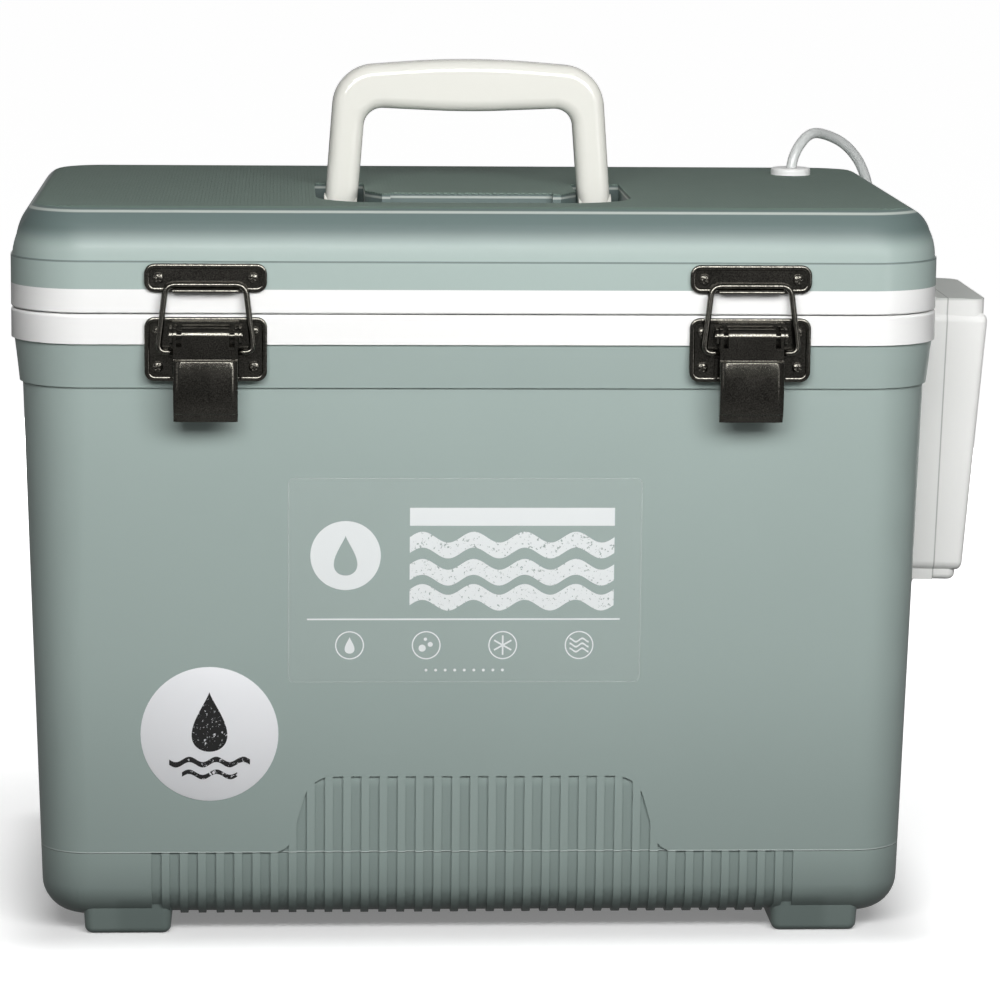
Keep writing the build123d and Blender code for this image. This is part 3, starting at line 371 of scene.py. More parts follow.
def vector_maths(tree, operation, *values):
    """A Vector Math node on the values. Its length is an output of its own, so it is returned
    whole."""
    return add_node(tree, "ShaderNodeVectorMath", dict(enumerate(values)), operation=operation)


def product(tree, first, *others):
    """The first value times each of the others in turn."""
    for other in others:
        first = maths(tree, "MULTIPLY", first, other)
    return first


def distance_from(tree, value, place):
    """How far a value is from a place: the size of their difference."""
    return maths(tree, "ABSOLUTE", maths(tree, "SUBTRACT", value, place))


def band(tree, value, rise, fall, most=1.0):
    """A mask that rises to its most over one pair of limits and falls to 0 over another."""
    return product(tree, ramp(tree, value, *rise, 0.0, most), ramp(tree, value, *fall, 1.0, 0.0))


def blend_color(tree, factor, first, second):
    """The first colour where the factor is 0, the second where it is 1."""
    node = add_node(tree, "ShaderNodeMix", {0: factor}, data_type="RGBA")
    for socket, color in ((6, first), (7, second)):
        if isinstance(color, bpy.types.NodeSocket):
            tree.links.new(color, node.inputs[socket])
        else:
            node.inputs[socket].default_value = (*color, 1.0)
    return node.outputs[2]


def group_of(tree):
    """The moulded surface group in a finish."""
    return next(node for node in tree.nodes if node.type == "GROUP")


def raise_normal(tree, height, distance):
    """Feeds a bump of the height into the moulded surface group."""
    bump = add_node(tree, "ShaderNodeBump", {
        "Height": height, "Distance": distance, "Strength": 1.0,
    })
    tree.links.new(bump.outputs[0], group_of(tree).inputs["Normal"])


# %% [markdown]
# The lid's top is a grip panel: a dull field of tiny raised squares, darker than the glossy roll
# that leads up to it. The product of two sine waves, one along each side, gives such a field.
# Below the panel come a pale crease, a painted highlight; the roll, with painted shade that
# darkens it upwards; and a thin dark line under the roll, the painted shade of a small step.
# Each is a zone of the height, measured down from the lid's top.

# %% Lid zones
lid_top_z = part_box("lid_shell")[1].z
crease_z = lid_top_z - 1.9 * mm
roll_z = crease_z - 22.4 * mm
panel_edge = (crease_z + 0.9 * mm, crease_z + 1.5 * mm)
grip_pitch = 3.4 * mm
grip_end = (115.0 * mm, 116.0 * mm)
lid_rough, panel_rough = 0.46, 0.70
print("grip squares", round(grip_pitch / mm, 1), "mm apart, roll", round(roll_z / mm, 1), "mm up")

# %% Lid finish
lid_pearl = new_finish(
    "pearl_lid", pearl, lid_rough,
    {"Metallic": 0.0, "Coat Roughness": 0.10, "Specular IOR Level": 0.35},
    Tone_Amount=0.08, Tone_Scale=5.0, Grain_Scale=1500.0, Grain_Height=0.05,
)
tree = lid_pearl.node_tree
axis = height_of(tree)
height = axis.outputs["Z"]
# Painted shade: the roll's colour darkens towards its top.
roll_painted_shade = ramp(tree, height, roll_z + 4.5 * mm, crease_z - 7.0 * mm, 0.0, 0.93)
# Painted highlight: a pale line along the crease, where its rounded edge catches light.
crease_painted_highlight = band(
    tree, height, (crease_z - 1.0 * mm, crease_z - 0.5 * mm),
    (crease_z + 0.1 * mm, crease_z + 0.5 * mm),
)
# Painted shade: a thin dark line in the step under the roll.
step_painted_shade = band(
    tree, height, (roll_z - 0.8 * mm, roll_z - 0.4 * mm),
    (roll_z + 0.05 * mm, roll_z + 0.3 * mm), most=0.75,
)
panel = ramp(tree, height, *panel_edge)
color = blend_color(tree, roll_painted_shade, pearl, (0.10, 0.14, 0.135))
color = blend_color(tree, crease_painted_highlight, color, (0.42, 0.46, 0.43))
color = blend_color(tree, step_painted_shade, color, (0.12, 0.155, 0.15))
color = blend_color(tree, panel, color, (0.13, 0.185, 0.155))
print("lid zones", len(tree.nodes), "nodes so far")

# %% Grip squares
wave_x = maths(tree, "SINE", product(tree, axis.outputs["X"], 2 * math.pi / grip_pitch))
wave_y = maths(tree, "SINE", product(tree, axis.outputs["Y"], 2 * math.pi / grip_pitch))
squares = product(
    tree, ramp(tree, product(tree, wave_x, wave_y), -0.35, 0.35),
    ramp(tree, distance_from(tree, axis.outputs["Y"], middle.y), *grip_end, 1.0, 0.0), panel,
)
color = blend_color(tree, product(tree, squares, 0.5), color, (0.26, 0.34, 0.30))
tree.links.new(color, group_of(tree).inputs["Color"])
raise_normal(tree, squares, 0.35 * mm)
dulled = ramp(tree, height, *panel_edge, lid_rough, panel_rough)
tree.links.new(dulled, group_of(tree).inputs["Roughness"])
coat = ramp(tree, height, roll_z + 4 * mm, roll_z + 10 * mm, 0.3, 0.0)
tree.links.new(coat, tree.nodes["Principled BSDF"].inputs["Coat Weight"])
print("lid finish", len(tree.nodes), "nodes")

# %% [markdown]
# The tub's mould parts along one level line above the feet. A trace of resin creeps in there and
# leaves a fine raised line all round: a bump, with a slightly lighter crest that is a painted
# highlight. The wall's colour darkens towards the bottom with painted shade, more over the feet.
# The grooves between the ribs get painted shade too. They lie behind the drafted wall, so how far
# a point is behind it is their mask.

# %% Tub walls
flash_z = 41.3 * mm
draft = math.radians(1.7)
flange_height = 264.3
wall_inset = 5.1
wall_half_at_floor = rim_depth / 2 - wall_inset - flange_height * math.tan(draft)
painted_shade_tone = (0.12, 0.155, 0.145)
print("walls", round(2 * wall_half_at_floor, 1), "mm apart at the floor, before the foot's curve")

# %% Tub finish
tub_pearl = new_finish("pearl_tub", pearl, 0.42, shell_sockets, **shell_amounts)
tree = tub_pearl.node_tree
axis = height_of(tree)
height = axis.outputs["Z"]
# Painted shade: the wall darkens towards the bottom.
low_wall_painted_shade = ramp(tree, height, 30 * mm, 150 * mm, 0.24, 0.0)
# Painted shade over the feet.
foot_shade = ramp(tree, height, 8 * mm, 44 * mm, 0.66, 0.0)
wall_half = maths(tree, "MULTIPLY_ADD", height, math.tan(draft), wall_half_at_floor * mm)
off_middle = distance_from(tree, axis.outputs["Y"], middle.y)
behind = maths(tree, "SUBTRACT", wall_half, off_middle)
# Painted shade in the grooves between the ribs, which lie behind the wall.
groove_painted_shade = product(
    tree, ramp(tree, behind, 0.4 * mm, 2.2 * mm, 0.0, 0.55),
    ramp(tree, height, 72 * mm, 76 * mm, 1.0, 0.0),
    ramp(tree, distance_from(tree, axis.outputs["X"], middle.x), 165 * mm, 172 * mm, 1.0, 0.0),
)
# The flash line's mask: a real bump, and a painted highlight along its crest.
flash_ridge_and_painted_highlight = ramp(tree, distance_from(tree, height, flash_z), 0.1 * mm, 0.45 * mm, 1.0, 0.0)
color = blend_color(tree, low_wall_painted_shade, pearl, painted_shade_tone)
color = blend_color(tree, foot_shade, color, (0.10, 0.13, 0.12))
color = blend_color(tree, groove_painted_shade, color, painted_shade_tone)
color = blend_color(tree, product(tree, flash_ridge_and_painted_highlight, 0.5), color, (0.62, 0.68, 0.66))
tree.links.new(color, group_of(tree).inputs["Color"])
raise_normal(tree, flash_ridge_and_painted_highlight, 0.3 * mm)
own_finish = {"lid_shell": lid_pearl, "tub_shell": tub_pearl}
print("parting line at", round(flash_z / mm, 1), "mm")

# %% [markdown]
# The pump's case is two halves that meet in a fine gap, which gets a thin dark line of painted
# shade. The gap lies in a plane that leans with the tub's wall, so a dot product with the plane's
# normal gives the distance from it. The top face of the case gets painted shade, so it is greyer
# than its walls.

# %% Pump finish
seam_normal = Vector((math.cos(draft), 0.0, -math.sin(draft)))
wall_point = middle + Vector((211.329, 0.0, 228.2)) * mm
seam_out = 18.0 * mm
seam_place = wall_point.dot(seam_normal) + seam_out
pump_case = new_finish("pump_case_white", pump_white, 0.52, pump_sockets, **pump_amounts)
tree = pump_case.node_tree
place = add_node(tree, "ShaderNodeTexCoord")
along = vector_maths(tree, "DOT_PRODUCT", place.outputs["Object"], seam_normal)
off_seam = distance_from(tree, along.outputs["Value"], seam_place)
# Painted shade: a thin dark line along the seam between the case halves.
seam_painted_shade = ramp(tree, off_seam, 0.15 * mm, 0.5 * mm, 0.6, 0.0)
# Painted shade: the top face of the case is greyer than its walls.
top_painted_shade = ramp(tree, height_of(tree).outputs["Z"], 296.4 * mm, 297.8 * mm)
color = blend_color(tree, top_painted_shade, pump_white, (0.64, 0.66, 0.63))
color = blend_color(tree, seam_painted_shade, color, (0.25, 0.25, 0.24))
tree.links.new(color, group_of(tree).inputs["Color"])
own_finish["pump_cover"] = own_finish["pump_back_case"] = pump_case
print("pump seam", round(seam_out / mm, 1), "mm out from the wall")

# %% [markdown]
# ## The two hoses
# A soft air hose hangs in one smooth line. A NURBS curve of order three runs smoothly past its
# control points, which are the same points that the CAD tube's route has. The line is read back
# as points, and a circle is carried along it. The hose crosses the hinge when the lid opens, and
# here it is built as a mesh, not a curve.

# %% Hose routes
hose_radius = 2.65 * mm
barb = (228.453, 49.5, 269.21)
outer_route = [
    (168.0, 73.0, 343.3), (168.0, 73.0, 352.0), (171.6, 75.5, 361.4), (179.2, 83.4, 368.6),
    (189.5, 96.6, 366.4), (201.1, 106.4, 360.5), (211.0, 114.7, 348.5), (216.6, 120.6, 329.5),
    (220.2, 121.6, 309.5), (225.2, 115.2, 290.2), (227.9, 98.0, 275.4),
    (barb[0], 73.5, barb[2]), barb,
]
inner_route = [
    (168.0, 73.0, 336.0), (168.0, 73.0, 298.0), (167.6, 75.5, 252.0), (166.6, 79.3, 210.0),
    (165.3, 83.0, 170.0), (164.1, 85.2, 134.0), (162.4, 84.8, 101.0), (158.4, 84.0, 67.0),
    (156.2, 78.0, 56.0), (155.0, 68.0, 50.15), (155.0, 54.0, 50.15),
]
print("route points", len(outer_route), "and", len(inner_route))


def hose_line(name, route):
    """Points along the NURBS curve that has the route's points as its control points."""
    points = from_drawing(route)
    curve = bpy.data.curves.new(name, "CURVE")
    curve.dimensions = "3D"
    spline = curve.splines.new("NURBS")
    spline.points.add(len(points) - 1)
    spline.points.foreach_set("co", np.column_stack([points, np.ones(len(points))]).ravel())
    spline.order_u = 3
    spline.use_endpoint_u = True
    spline.resolution_u = 12
    holder = bpy.data.objects.new(name, curve)
    line = bpy.data.meshes.new_from_object(holder)
    flat = np.empty(len(line.vertices) * 3)
    line.vertices.foreach_get("co", flat)
    bpy.data.objects.remove(holder)
    return flat.reshape(-1, 3)


def hose_tube(line, radius, sides=24):
    """A circle carried along a line: at each point, two directions square to the line's own
    are found with a fixed sideways vector, and the cosine and sine of the angle run along them.
    The first and last rings shrink to a point, which closes the ends."""
    along = np.gradient(line, axis=0)
    along /= np.linalg.norm(along, axis=1)[:, None]
    across = np.cross((1.0, 0.0, 0.0), along)
    across /= np.linalg.norm(across, axis=1)[:, None]
    other = np.cross(along, across)
    angle = np.linspace(0, 2 * math.pi, sides + 1)[None, :, None]
    ring = np.cos(angle) * across[:, None, :] + np.sin(angle) * other[:, None, :]
    tube = line[:, None, :] + radius * ring
    first = np.repeat(line[:1, None, :], sides + 1, axis=1)
    last = np.repeat(line[-1:, None, :], sides + 1, axis=1)
    return np.concatenate([first, tube, last])


# %% [markdown]
# Each hose is a tube of the hose's thickness along its route. It stands for its CAD node, which is
# hidden, and its length is printed.


# %% Hoses
def line_length(line):
    """The distances between neighbouring points of a line, added up."""
    return float(np.linalg.norm(np.diff(line, axis=0), axis=1).sum())


def new_hose(name, node, route):
    """A hose along its route, standing for its CAD node."""
    line = hose_line(name + "_line", route)
    hose = new_piece(name, [hose_tube(line, hose_radius)], finishes["hose_silicone"])
    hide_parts(node)
    print(name, "length", round(line_length(line) / mm, 1), "mm")
    return hose


air_hose = new_hose("air_hose", "outer_hose", outer_route)
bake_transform(air_hose)
drop_hose = new_hose("drop_hose", "inner_hose", inner_route)
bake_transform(drop_hose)

# %% [markdown]
# ## The stage
# Products often stand on a white sweep. Here the floor is one large pale plane, and the world is
# white where the camera or a reflection looks at it, but only softly lit for the object. The
# floor adds some of its own white for the camera, so it stays white round the object and keeps
# the object's shadow.


# %% What each ray sees
def part_seen(tree, camera_part, mirror_part):
    """How much white the camera sees here, plus how much a reflection or a clear material sees."""
    ray = add_node(tree, "ShaderNodeLightPath")
    mirrored = maths(
        tree, "MAXIMUM", ray.outputs["Is Glossy Ray"], ray.outputs["Is Transmission Ray"],
    )
    straight = maths(tree, "MULTIPLY", ray.outputs["Is Camera Ray"], camera_part)
    return maths(tree, "MULTIPLY_ADD", mirrored, mirror_part, straight)


# %% [markdown]
# The floor's own white is weak beside the feet, a painted shadow that deepens the real one there,
# and grows with the distance from the footprint. That distance has a short rule: take the size of
# the place along each side, take off half the side, cut negative numbers to zero, and measure what
# is left.

# %% Floor
floor_half = 30.0
footprint_half = (0.195, 0.112, 0.0)
floor_mesh = bpy.data.meshes.new("floor")
floor_mesh.from_pydata(
    [(-floor_half, -floor_half, 0), (floor_half, -floor_half, 0),
     (floor_half, floor_half, 0), (-floor_half, floor_half, 0)],
    [], [(0, 1, 2, 3)],
)
floor = bpy.data.objects.new("floor", floor_mesh)
bpy.context.scene.collection.objects.link(floor)
floor_finish = bpy.data.materials.new("floor_white")
floor_finish.use_nodes = True
floor_mesh.materials.append(floor_finish)
tree = floor_finish.node_tree
tree.nodes.remove(tree.nodes["Principled BSDF"])
ground = add_node(tree, "ShaderNodeTexCoord")
from_middle = vector_maths(tree, "SUBTRACT", ground.outputs["Object"], middle).outputs[0]
size_along = vector_maths(tree, "ABSOLUTE", from_middle).outputs[0]
outside = vector_maths(tree, "SUBTRACT", size_along, footprint_half).outputs[0]
clear_of = vector_maths(tree, "MAXIMUM", outside, (0.0, 0.0, 0.0)).outputs[0]
away = vector_maths(tree, "LENGTH", clear_of).outputs["Value"]
# The floor's glow for the camera, weak near the footprint: a painted shadow.
glow_with_painted_shadow = maths(
    tree, "ADD", ramp(tree, away, 0.0, 0.05, 0.2, 0.6), ramp(tree, away, 0.03, 0.25, 0.0, 0.28),
)
view_ray = add_node(tree, "ShaderNodeLightPath")
shade = add_node(tree, "ShaderNodeMapRange", {
    0: view_ray.outputs["Is Camera Ray"], "To Min": 0.13, "To Max": 0.85,
})
pale = add_node(tree, "ShaderNodeBsdfDiffuse", {"Color": shade.outputs[0]})
glow = add_node(tree, "ShaderNodeEmission", {
    "Color": (1.0, 1.0, 1.0, 1.0), "Strength": part_seen(tree, glow_with_painted_shadow, 0.1),
})
both = add_node(tree, "ShaderNodeAddShader", {0: pale.outputs[0], 1: glow.outputs[0]})
tree.links.new(both.outputs[0], tree.nodes["Material Output"].inputs["Surface"])
print("floor", 2 * floor_half, "m across")

# %% World
ambient = 0.13
world = bpy.data.worlds.new("studio")
bpy.context.scene.world = world
world.use_nodes = True
tree = world.node_tree
background = tree.nodes["Background"]
background.inputs["Color"].default_value = (1.0, 1.0, 1.0, 1.0)
heading = add_node(tree, "ShaderNodeTexCoord")
axes = add_node(tree, "ShaderNodeSeparateXYZ", {0: heading.outputs["Generated"]})
rear_white = ramp(tree, axes.outputs["Y"], 0.62, 0.97, 0.0, 0.45)
strength = maths(tree, "ADD", part_seen(tree, 1.0, rear_white), ambient)
tree.links.new(strength, background.inputs["Strength"])
print("world", ambient, "all round, and white behind")

# %% [markdown]
# ## The lamps
# One wide soft box above the front gives most of the light. A tall, narrow one at each side puts
# a long soft streak on the rolled edges. Two more behind light the lid's far half and the back
# wall. Those two are kept out of reflections, which would turn every edge white.


# %% Lamps
def soft_box(name, place, aim, width, height, watts, mirrored=True):
    """A rectangular lamp that faces a point: its own -Z is turned along aim less place."""
    lamp = bpy.data.lights.new(name, "AREA")
    lamp.shape = "RECTANGLE"
    lamp.size = width
    lamp.size_y = height
    lamp.energy = watts
    holder = bpy.data.objects.new(name, lamp)
    holder.location = place
    holder.visible_camera = False
    holder.visible_glossy = mirrored
    holder.rotation_mode = "QUATERNION"
    holder.rotation_quaternion = (Vector(aim) - Vector(place)).to_track_quat("-Z", "Y")
    bpy.context.scene.collection.objects.link(holder)


body_centre = (middle.x, middle.y, 0.34)
soft_box("front_box", (0.05, -0.85, 0.68), (middle.x, 0.0, 0.52), 1.0, 0.34, 10.2)
soft_box("left_box", (-1.3, -0.9, 0.6), body_centre, 0.22, 1.05, 0.6)
soft_box("right_box", (1.0, -1.3, 0.6), body_centre, 0.3, 1.05, 2.4)
soft_box("rear_box", (0.2, 1.0, 1.3), body_centre, 1.4, 0.4, 1.0, mirrored=False)
soft_box("low_rear_box", (0.3, 1.5, 0.17), (middle.x, 0.0, 0.17), 1.6, 0.26, 14.0, mirrored=False)
bpy.context.scene.view_settings.view_transform = "Standard"
print("lamps", len(bpy.data.lights))

# %% [markdown]
# ## Smooth moulded pieces
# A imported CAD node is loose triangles, so each one would shade flat. Its copy has the loose
# corners welded, edges sharper than a limit marked, and each corner's normal weighted by the
# area of the faces round it, which keeps big flat walls flat next to small rounded edges. The
# file's own corner normals go first, because they would win over the new ones.

# %% Smooth copies
sharp_angle = math.radians(32.0)
smooth_nodes = [
    "tub_shell", "tub_liner", "lid_shell", "lid_liner", "lid_gasket", "handle", "handle_pins",
    "pump_back_case", "pump_cover", "pump_head", "pump_bracket", "hose_grommet", "air_stone",
    "hinge_pins",
]
smooth_nodes += [
    side + part
    for side in ("left_", "right_")
    for part in ("latch_base", "keeper", "lever", "lever_pin")
]


def smooth_piece(node):
    """A welded, smooth-shaded copy of a CAD node that stands for it."""
    mesh = frame["nodes"][node].data.copy()
    mesh.name = node + "_smooth"
    mesh.attributes.remove(mesh.attributes["custom_normal"])
    work = bmesh.new()
    work.from_mesh(mesh)
    bmesh.ops.remove_doubles(work, verts=work.verts, dist=1e-6)
    for edge in work.edges:
        edge.smooth = True
    work.to_mesh(mesh)
    work.free()
    mesh.shade_smooth()
    mesh.set_sharp_from_angle(angle=sharp_angle)
    mesh.materials.clear()
    mesh.materials.append(own_finish.get(node, finishes[slot_of[node]]))
    piece = bpy.data.objects.new(node + "_smooth", mesh)
    bpy.context.scene.collection.objects.link(piece)
    weigh = piece.modifiers.new("weigh", "WEIGHTED_NORMAL")
    weigh.mode = "FACE_AREA"
    weigh.keep_sharp = True
    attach(piece, body_of[node])
    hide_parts(node)
    return piece


smooth = {node: smooth_piece(node) for node in smooth_nodes}
for node, shown in frame["nodes"].items():
    shown.data.materials.clear()
    shown.data.materials.append(finishes[slot_of[node]])
print("smooth pieces", len(smooth), "of", len(frame["nodes"]), "nodes")

# %% [markdown]
# ## Pressed latch plates
# The latch plates are pressed from sheet, so a rounded bead runs round their edge. It is half an
# ellipse carried round a rounded rectangle. Two plates make a latch: the base on the tub and the
# keeper on the lid. All latch sizes are millimetres on the drawing, across, up, or out from the
# front of the plates.

# %% Latch sizes
plate_front = -rim_depth / 2 - 1.5
latch_across = 126.0
latches = (("left", -latch_across), ("right", latch_across))
plate_half, plate_corner = 28.1, 4.6
base_up, base_half_up = 282.9, 14.8
keeper_up, keeper_half_up = 315.9, 6.5
lever_axis, lever_half = 289.7, 16.0
bead_width, bead_height, bead_proud, bead_under_lever = 2.3, 0.6, 0.12, 0.05
bead_back, least_corner = 1.2, 0.6
print("latches", 2 * latch_across, "mm apart, plates", 2 * plate_half, "mm wide")


# %% Plate beads
def rounded(half_across, half_up, corner, steps=8):
    """The outline of a rounded rectangle: a quarter circle at each corner, joined by sides."""
    angle = np.linspace(0, math.pi / 2, steps)
    turns = (np.arange(4)[:, None] * math.pi / 2 + angle[None, :]).ravel()
    signs = np.array([(1, 1), (-1, 1), (-1, -1), (1, -1)]).repeat(steps, axis=0)
    centre = signs * (half_across - corner, half_up - corner)
    outline = centre + corner * np.column_stack([np.cos(turns), np.sin(turns)])
    return np.concatenate([outline, outline[:1]])


def plate_bead(across, up, half_up, clear_half=0.0):
    """Half an ellipse carried round a plate's edge: the inset goes with one minus the cosine of
    an angle, the height with its sine. Under the lever the bead is nearly flat."""
    rings = []
    for angle in np.linspace(0, math.pi, 9):
        inset = -bead_proud + (bead_width + bead_proud) * (1 - math.cos(angle)) / 2
        corner = max(plate_corner - inset, least_corner)
        outline = rounded(plate_half - inset, half_up - inset, corner)
        under = (np.abs(outline[:, 0]) < clear_half) & (outline[:, 1] < 0)
        rise = np.where(under, bead_under_lever, bead_height) * math.sin(angle)
        rings.append(np.column_stack([
            outline[:, 0] + across, plate_front - rise, outline[:, 1] + up,
        ]))
    foot = rings[0].copy()
    foot[:, 1] = plate_front + bead_back
    return from_drawing(np.stack([foot] + rings))


def new_latch_piece(name, grid, body):
    """A piece of dark nickel made from one grid, riding on a body."""
    piece = new_piece(name, [grid], finishes["latch_metal"])
    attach(piece, body)
    return piece


for side, across in latches:
    base_bead = plate_bead(across, base_up, base_half_up, lever_half)
    new_latch_piece(side + "_base_bead", base_bead, "tub")
    keeper_bead = plate_bead(across, keeper_up, keeper_half_up)
    new_latch_piece(side + "_keeper_bead", keeper_bead, "lid")
print("plate beads", bead_height, "mm high,", bead_width, "mm wide")

# %% [markdown]
# The lever's thumb pad is crowned, with a bevel along each side. It is a grid: one parameter
# runs down the lever along a shallow arc, the other across it. The lever's smooth copy sinks a
# little behind it, so that the pad ends where the solid did. The keeper's hook ends level with
# its plate, so the part of the hook below that is pushed up.

# %% Thumb pad sizes
pad_start, pad_lip, pad_end = -10.6, -35.2, -39.3
pad_arc_up = [pad_start, -23.6, -37.0]
pad_arc_out = [11.6, 12.7, 11.4]
lip_depth, step_depth = 1.0, 2.4
pad_crown, pad_sink = 1.2, 1.3
hook_low = 309.6


def pad_out(up):
    """How far the thumb pad stands out at a height: a parabola through the arc's two ends and
    its middle, with a lowered lip at the tip and a steep step at the start."""
    curve = np.polyval(np.polyfit(pad_arc_up, pad_arc_out, 2), up)
    lip = lip_depth * np.clip((pad_lip - up) / 0.7, 0, 1)
    first_step = step_depth * np.clip((up + 11.4) / 0.8, 0, 1) ** 2
    return curve - lip - first_step


def lever_pad(across):
    """The crowned pad: its height over the sunk lever is full in the middle and falls off in a
    flat bevel at each side. Rows run down the arc, columns across it."""
    up = np.concatenate([
        np.linspace(pad_start, -12.0, 9), np.linspace(-12.8, -35.0, 24),
        np.linspace(pad_lip, pad_end, 12),
    ])
    half = np.array([0.0, 6.0, 11.8, 12.1, 12.35, 14.65, 14.8])
    half_crown = np.array([pad_crown, pad_crown, pad_crown, 1.16, 1.08, 0.1, -0.3])
    column = np.concatenate([-half[:0:-1], half])
    crown = np.concatenate([half_crown[:0:-1], half_crown])
    narrow = 1.0 - 0.08 * np.clip((up + 13.5) / 2.9, 0, 1)[:, None]
    x = across + column[None, :] * np.where(np.abs(column) < 13, narrow, 1.0)
    out = pad_out(up)[:, None] - pad_crown + crown[None, :]
    z = lever_axis + up[:, None] + 0.0 * x
    return from_drawing(np.stack([x, plate_front - out, z], axis=-1))


# %% Thumb pads and hooks
def points_of(mesh):
    """A mesh's points as rows of x, y and z."""
    flat = np.empty(len(mesh.vertices) * 3)
    mesh.vertices.foreach_get("co", flat)
    return flat.reshape(-1, 3)


for side, across in latches:
    new_latch_piece(side + "_thumb_pad", lever_pad(across), side + "_lever")
    lever = smooth[side + "_lever"].data
    place = points_of(lever)
    drawn = (place - np.array(middle)) / mm
    pad_face = (drawn[:, 2] < lever_axis - 10.5) & (drawn[:, 1] < plate_front - 4.0)
    place[pad_face, 1] += pad_sink * mm
    lever.vertices.foreach_set("co", place.ravel())
    keeper = smooth[side + "_keeper"].data
    place = points_of(keeper)
    hook = place[:, 1] < middle.y + (plate_front - 0.2) * mm
    place[hook, 2] = np.maximum(place[hook, 2], hook_low * mm)
    keeper.vertices.foreach_set("co", place.ravel())
    print(side, "lever points sunk", int(pad_face.sum()), "hook points", int(hook.sum()))

# %% [markdown]
# The bail is bent from one wire: two legs that lean together, and a bar that pulls on the
# keeper. A circle is carried along the bent line. The line lies in one plane, so that plane's
# normal and its product with the line's direction span every section.


# %% Bail wire
wire_radius = 1.4
bail_length = 30.9
end_half, leg_half, bar_half = 14.0, 22.0, 18.3
ends_out, bar_out, ends_below_axis = 4.5, 1.7, 7.6
bail_bends = (4.0, 4.6, 4.6, 4.0)


def bent_line(corners, bends, steps=9):
    """Straight runs joined by quadratic curves: each bend's curve has the corner as its middle
    control point."""
    corners = np.asarray(corners, float)
    t = np.linspace(0, 1, steps)[:, None]
    line = [corners[:1]]
    for before, corner, after, bend in zip(corners[:-2], corners[1:-1], corners[2:], bends):
        start = corner + (before - corner) * bend / np.linalg.norm(before - corner)
        end = corner + (after - corner) * bend / np.linalg.norm(after - corner)
        line.append((1 - t) ** 2 * start + 2 * t * (1 - t) * corner + t ** 2 * end)
    line.append(corners[-1:])
    return np.concatenate(line)


def wire(line, radius, sides=20):
    """A circle carried along a flat line: the line's point, plus the radius along the plane's
    normal by the cosine, and along the other axis of the section by the sine."""
    along = np.gradient(line, axis=0)
    along /= np.linalg.norm(along, axis=1)[:, None]
    flat = np.cross(line[len(line) // 3] - line[0], line[-1] - line[0])
    flat /= np.linalg.norm(flat)
    across = np.cross(along, flat)
    angle = np.linspace(0, 2 * math.pi, sides + 1)
    ring = np.cos(angle)[None, :, None] * flat + np.sin(angle)[None, :, None] * across[:, None, :]
    tube = line[:, None, :] + radius * ring
    first = line[:1, None, :] + 0 * tube[:1]
    last = line[-1:, None, :] + 0 * tube[-1:]
    return np.concatenate([first, tube, last])


def bail_line(across):
    """The bail's middle line: its ends in the lever, its bar on the keeper's shelf."""
    tilt = math.asin((ends_out - bar_out) / bail_length)
    flat = np.array([
        (-end_half, 0), (-leg_half, 0), (-bar_half, bail_length),
        (bar_half, bail_length), (leg_half, 0), (end_half, 0),
    ])
    corners = np.column_stack([
        across + flat[:, 0],
        plate_front - ends_out + flat[:, 1] * math.sin(tilt),
        lever_axis - ends_below_axis + flat[:, 1] * math.cos(tilt),
    ])
    return bent_line(corners, bail_bends)


for side, across in latches:
    bail_tube = from_drawing(wire(bail_line(across), wire_radius))
    bail = new_latch_piece(side + "_bail_wire", bail_tube, side + "_bail")
    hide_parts(side + "_bail")
print("bail wire", 2 * wire_radius, "mm thick,", round(line_length(bail_line(0.0)), 1), "mm long")

# %% [markdown]
# Screws hold the plates. A head is a low dome with a cross recess, turned as the screwdriver left
# it, so each has its own angle from a seeded draw. The dome and the recess are one height over
# rings and spokes, and a plain shank behind each head goes into the wall.


# %% Screw heads
dome_height, dome_fall, head_edge = 1.65, 0.13, 2.55
recess_depth, arm_half, arm_reach = 1.1, 0.5, 1.6


def screw_head(across, up, turn):
    """A domed head with a cross recess: the height is a parabola of the radius, less a cut
    wherever the point lies near either arm of the cross."""
    radius = np.concatenate([
        np.linspace(0, 1.7, 18), np.linspace(1.85, 2.4, 5), [2.5, head_edge, head_edge],
    ])
    angle = np.linspace(0, 2 * math.pi, 65)
    r, a = np.meshgrid(radius, angle, indexing="ij")
    arm = np.minimum(np.abs(r * np.cos(a)), np.abs(r * np.sin(a)))
    cut = np.clip((arm_half - arm) / 0.16, 0, 1) * np.clip((arm_reach - r) / 0.2, 0, 1)
    height = dome_height - dome_fall * r ** 2 - recess_depth * cut
    height[-3:] = np.array([0.62, 0.4, 0.0])[:, None]
    x = across + r * np.cos(a + turn)
    z = up + r * np.sin(a + turn)
    return from_drawing(np.stack([x, plate_front - height, z], axis=-1))


def screw_shank(across, up):
    """A plain shank behind the head, closed at its tip."""
    radius = np.array([1.5, 1.5, 0.0])[:, None]
    depth = np.array([0.0, 4.0, 4.1])[:, None]
    angle = np.linspace(0, 2 * math.pi, 25)[None, :]
    x = across + radius * np.cos(angle)
    z = up + radius * np.sin(angle)
    return from_drawing(np.stack([x, plate_front + depth + 0 * angle, z], axis=-1))


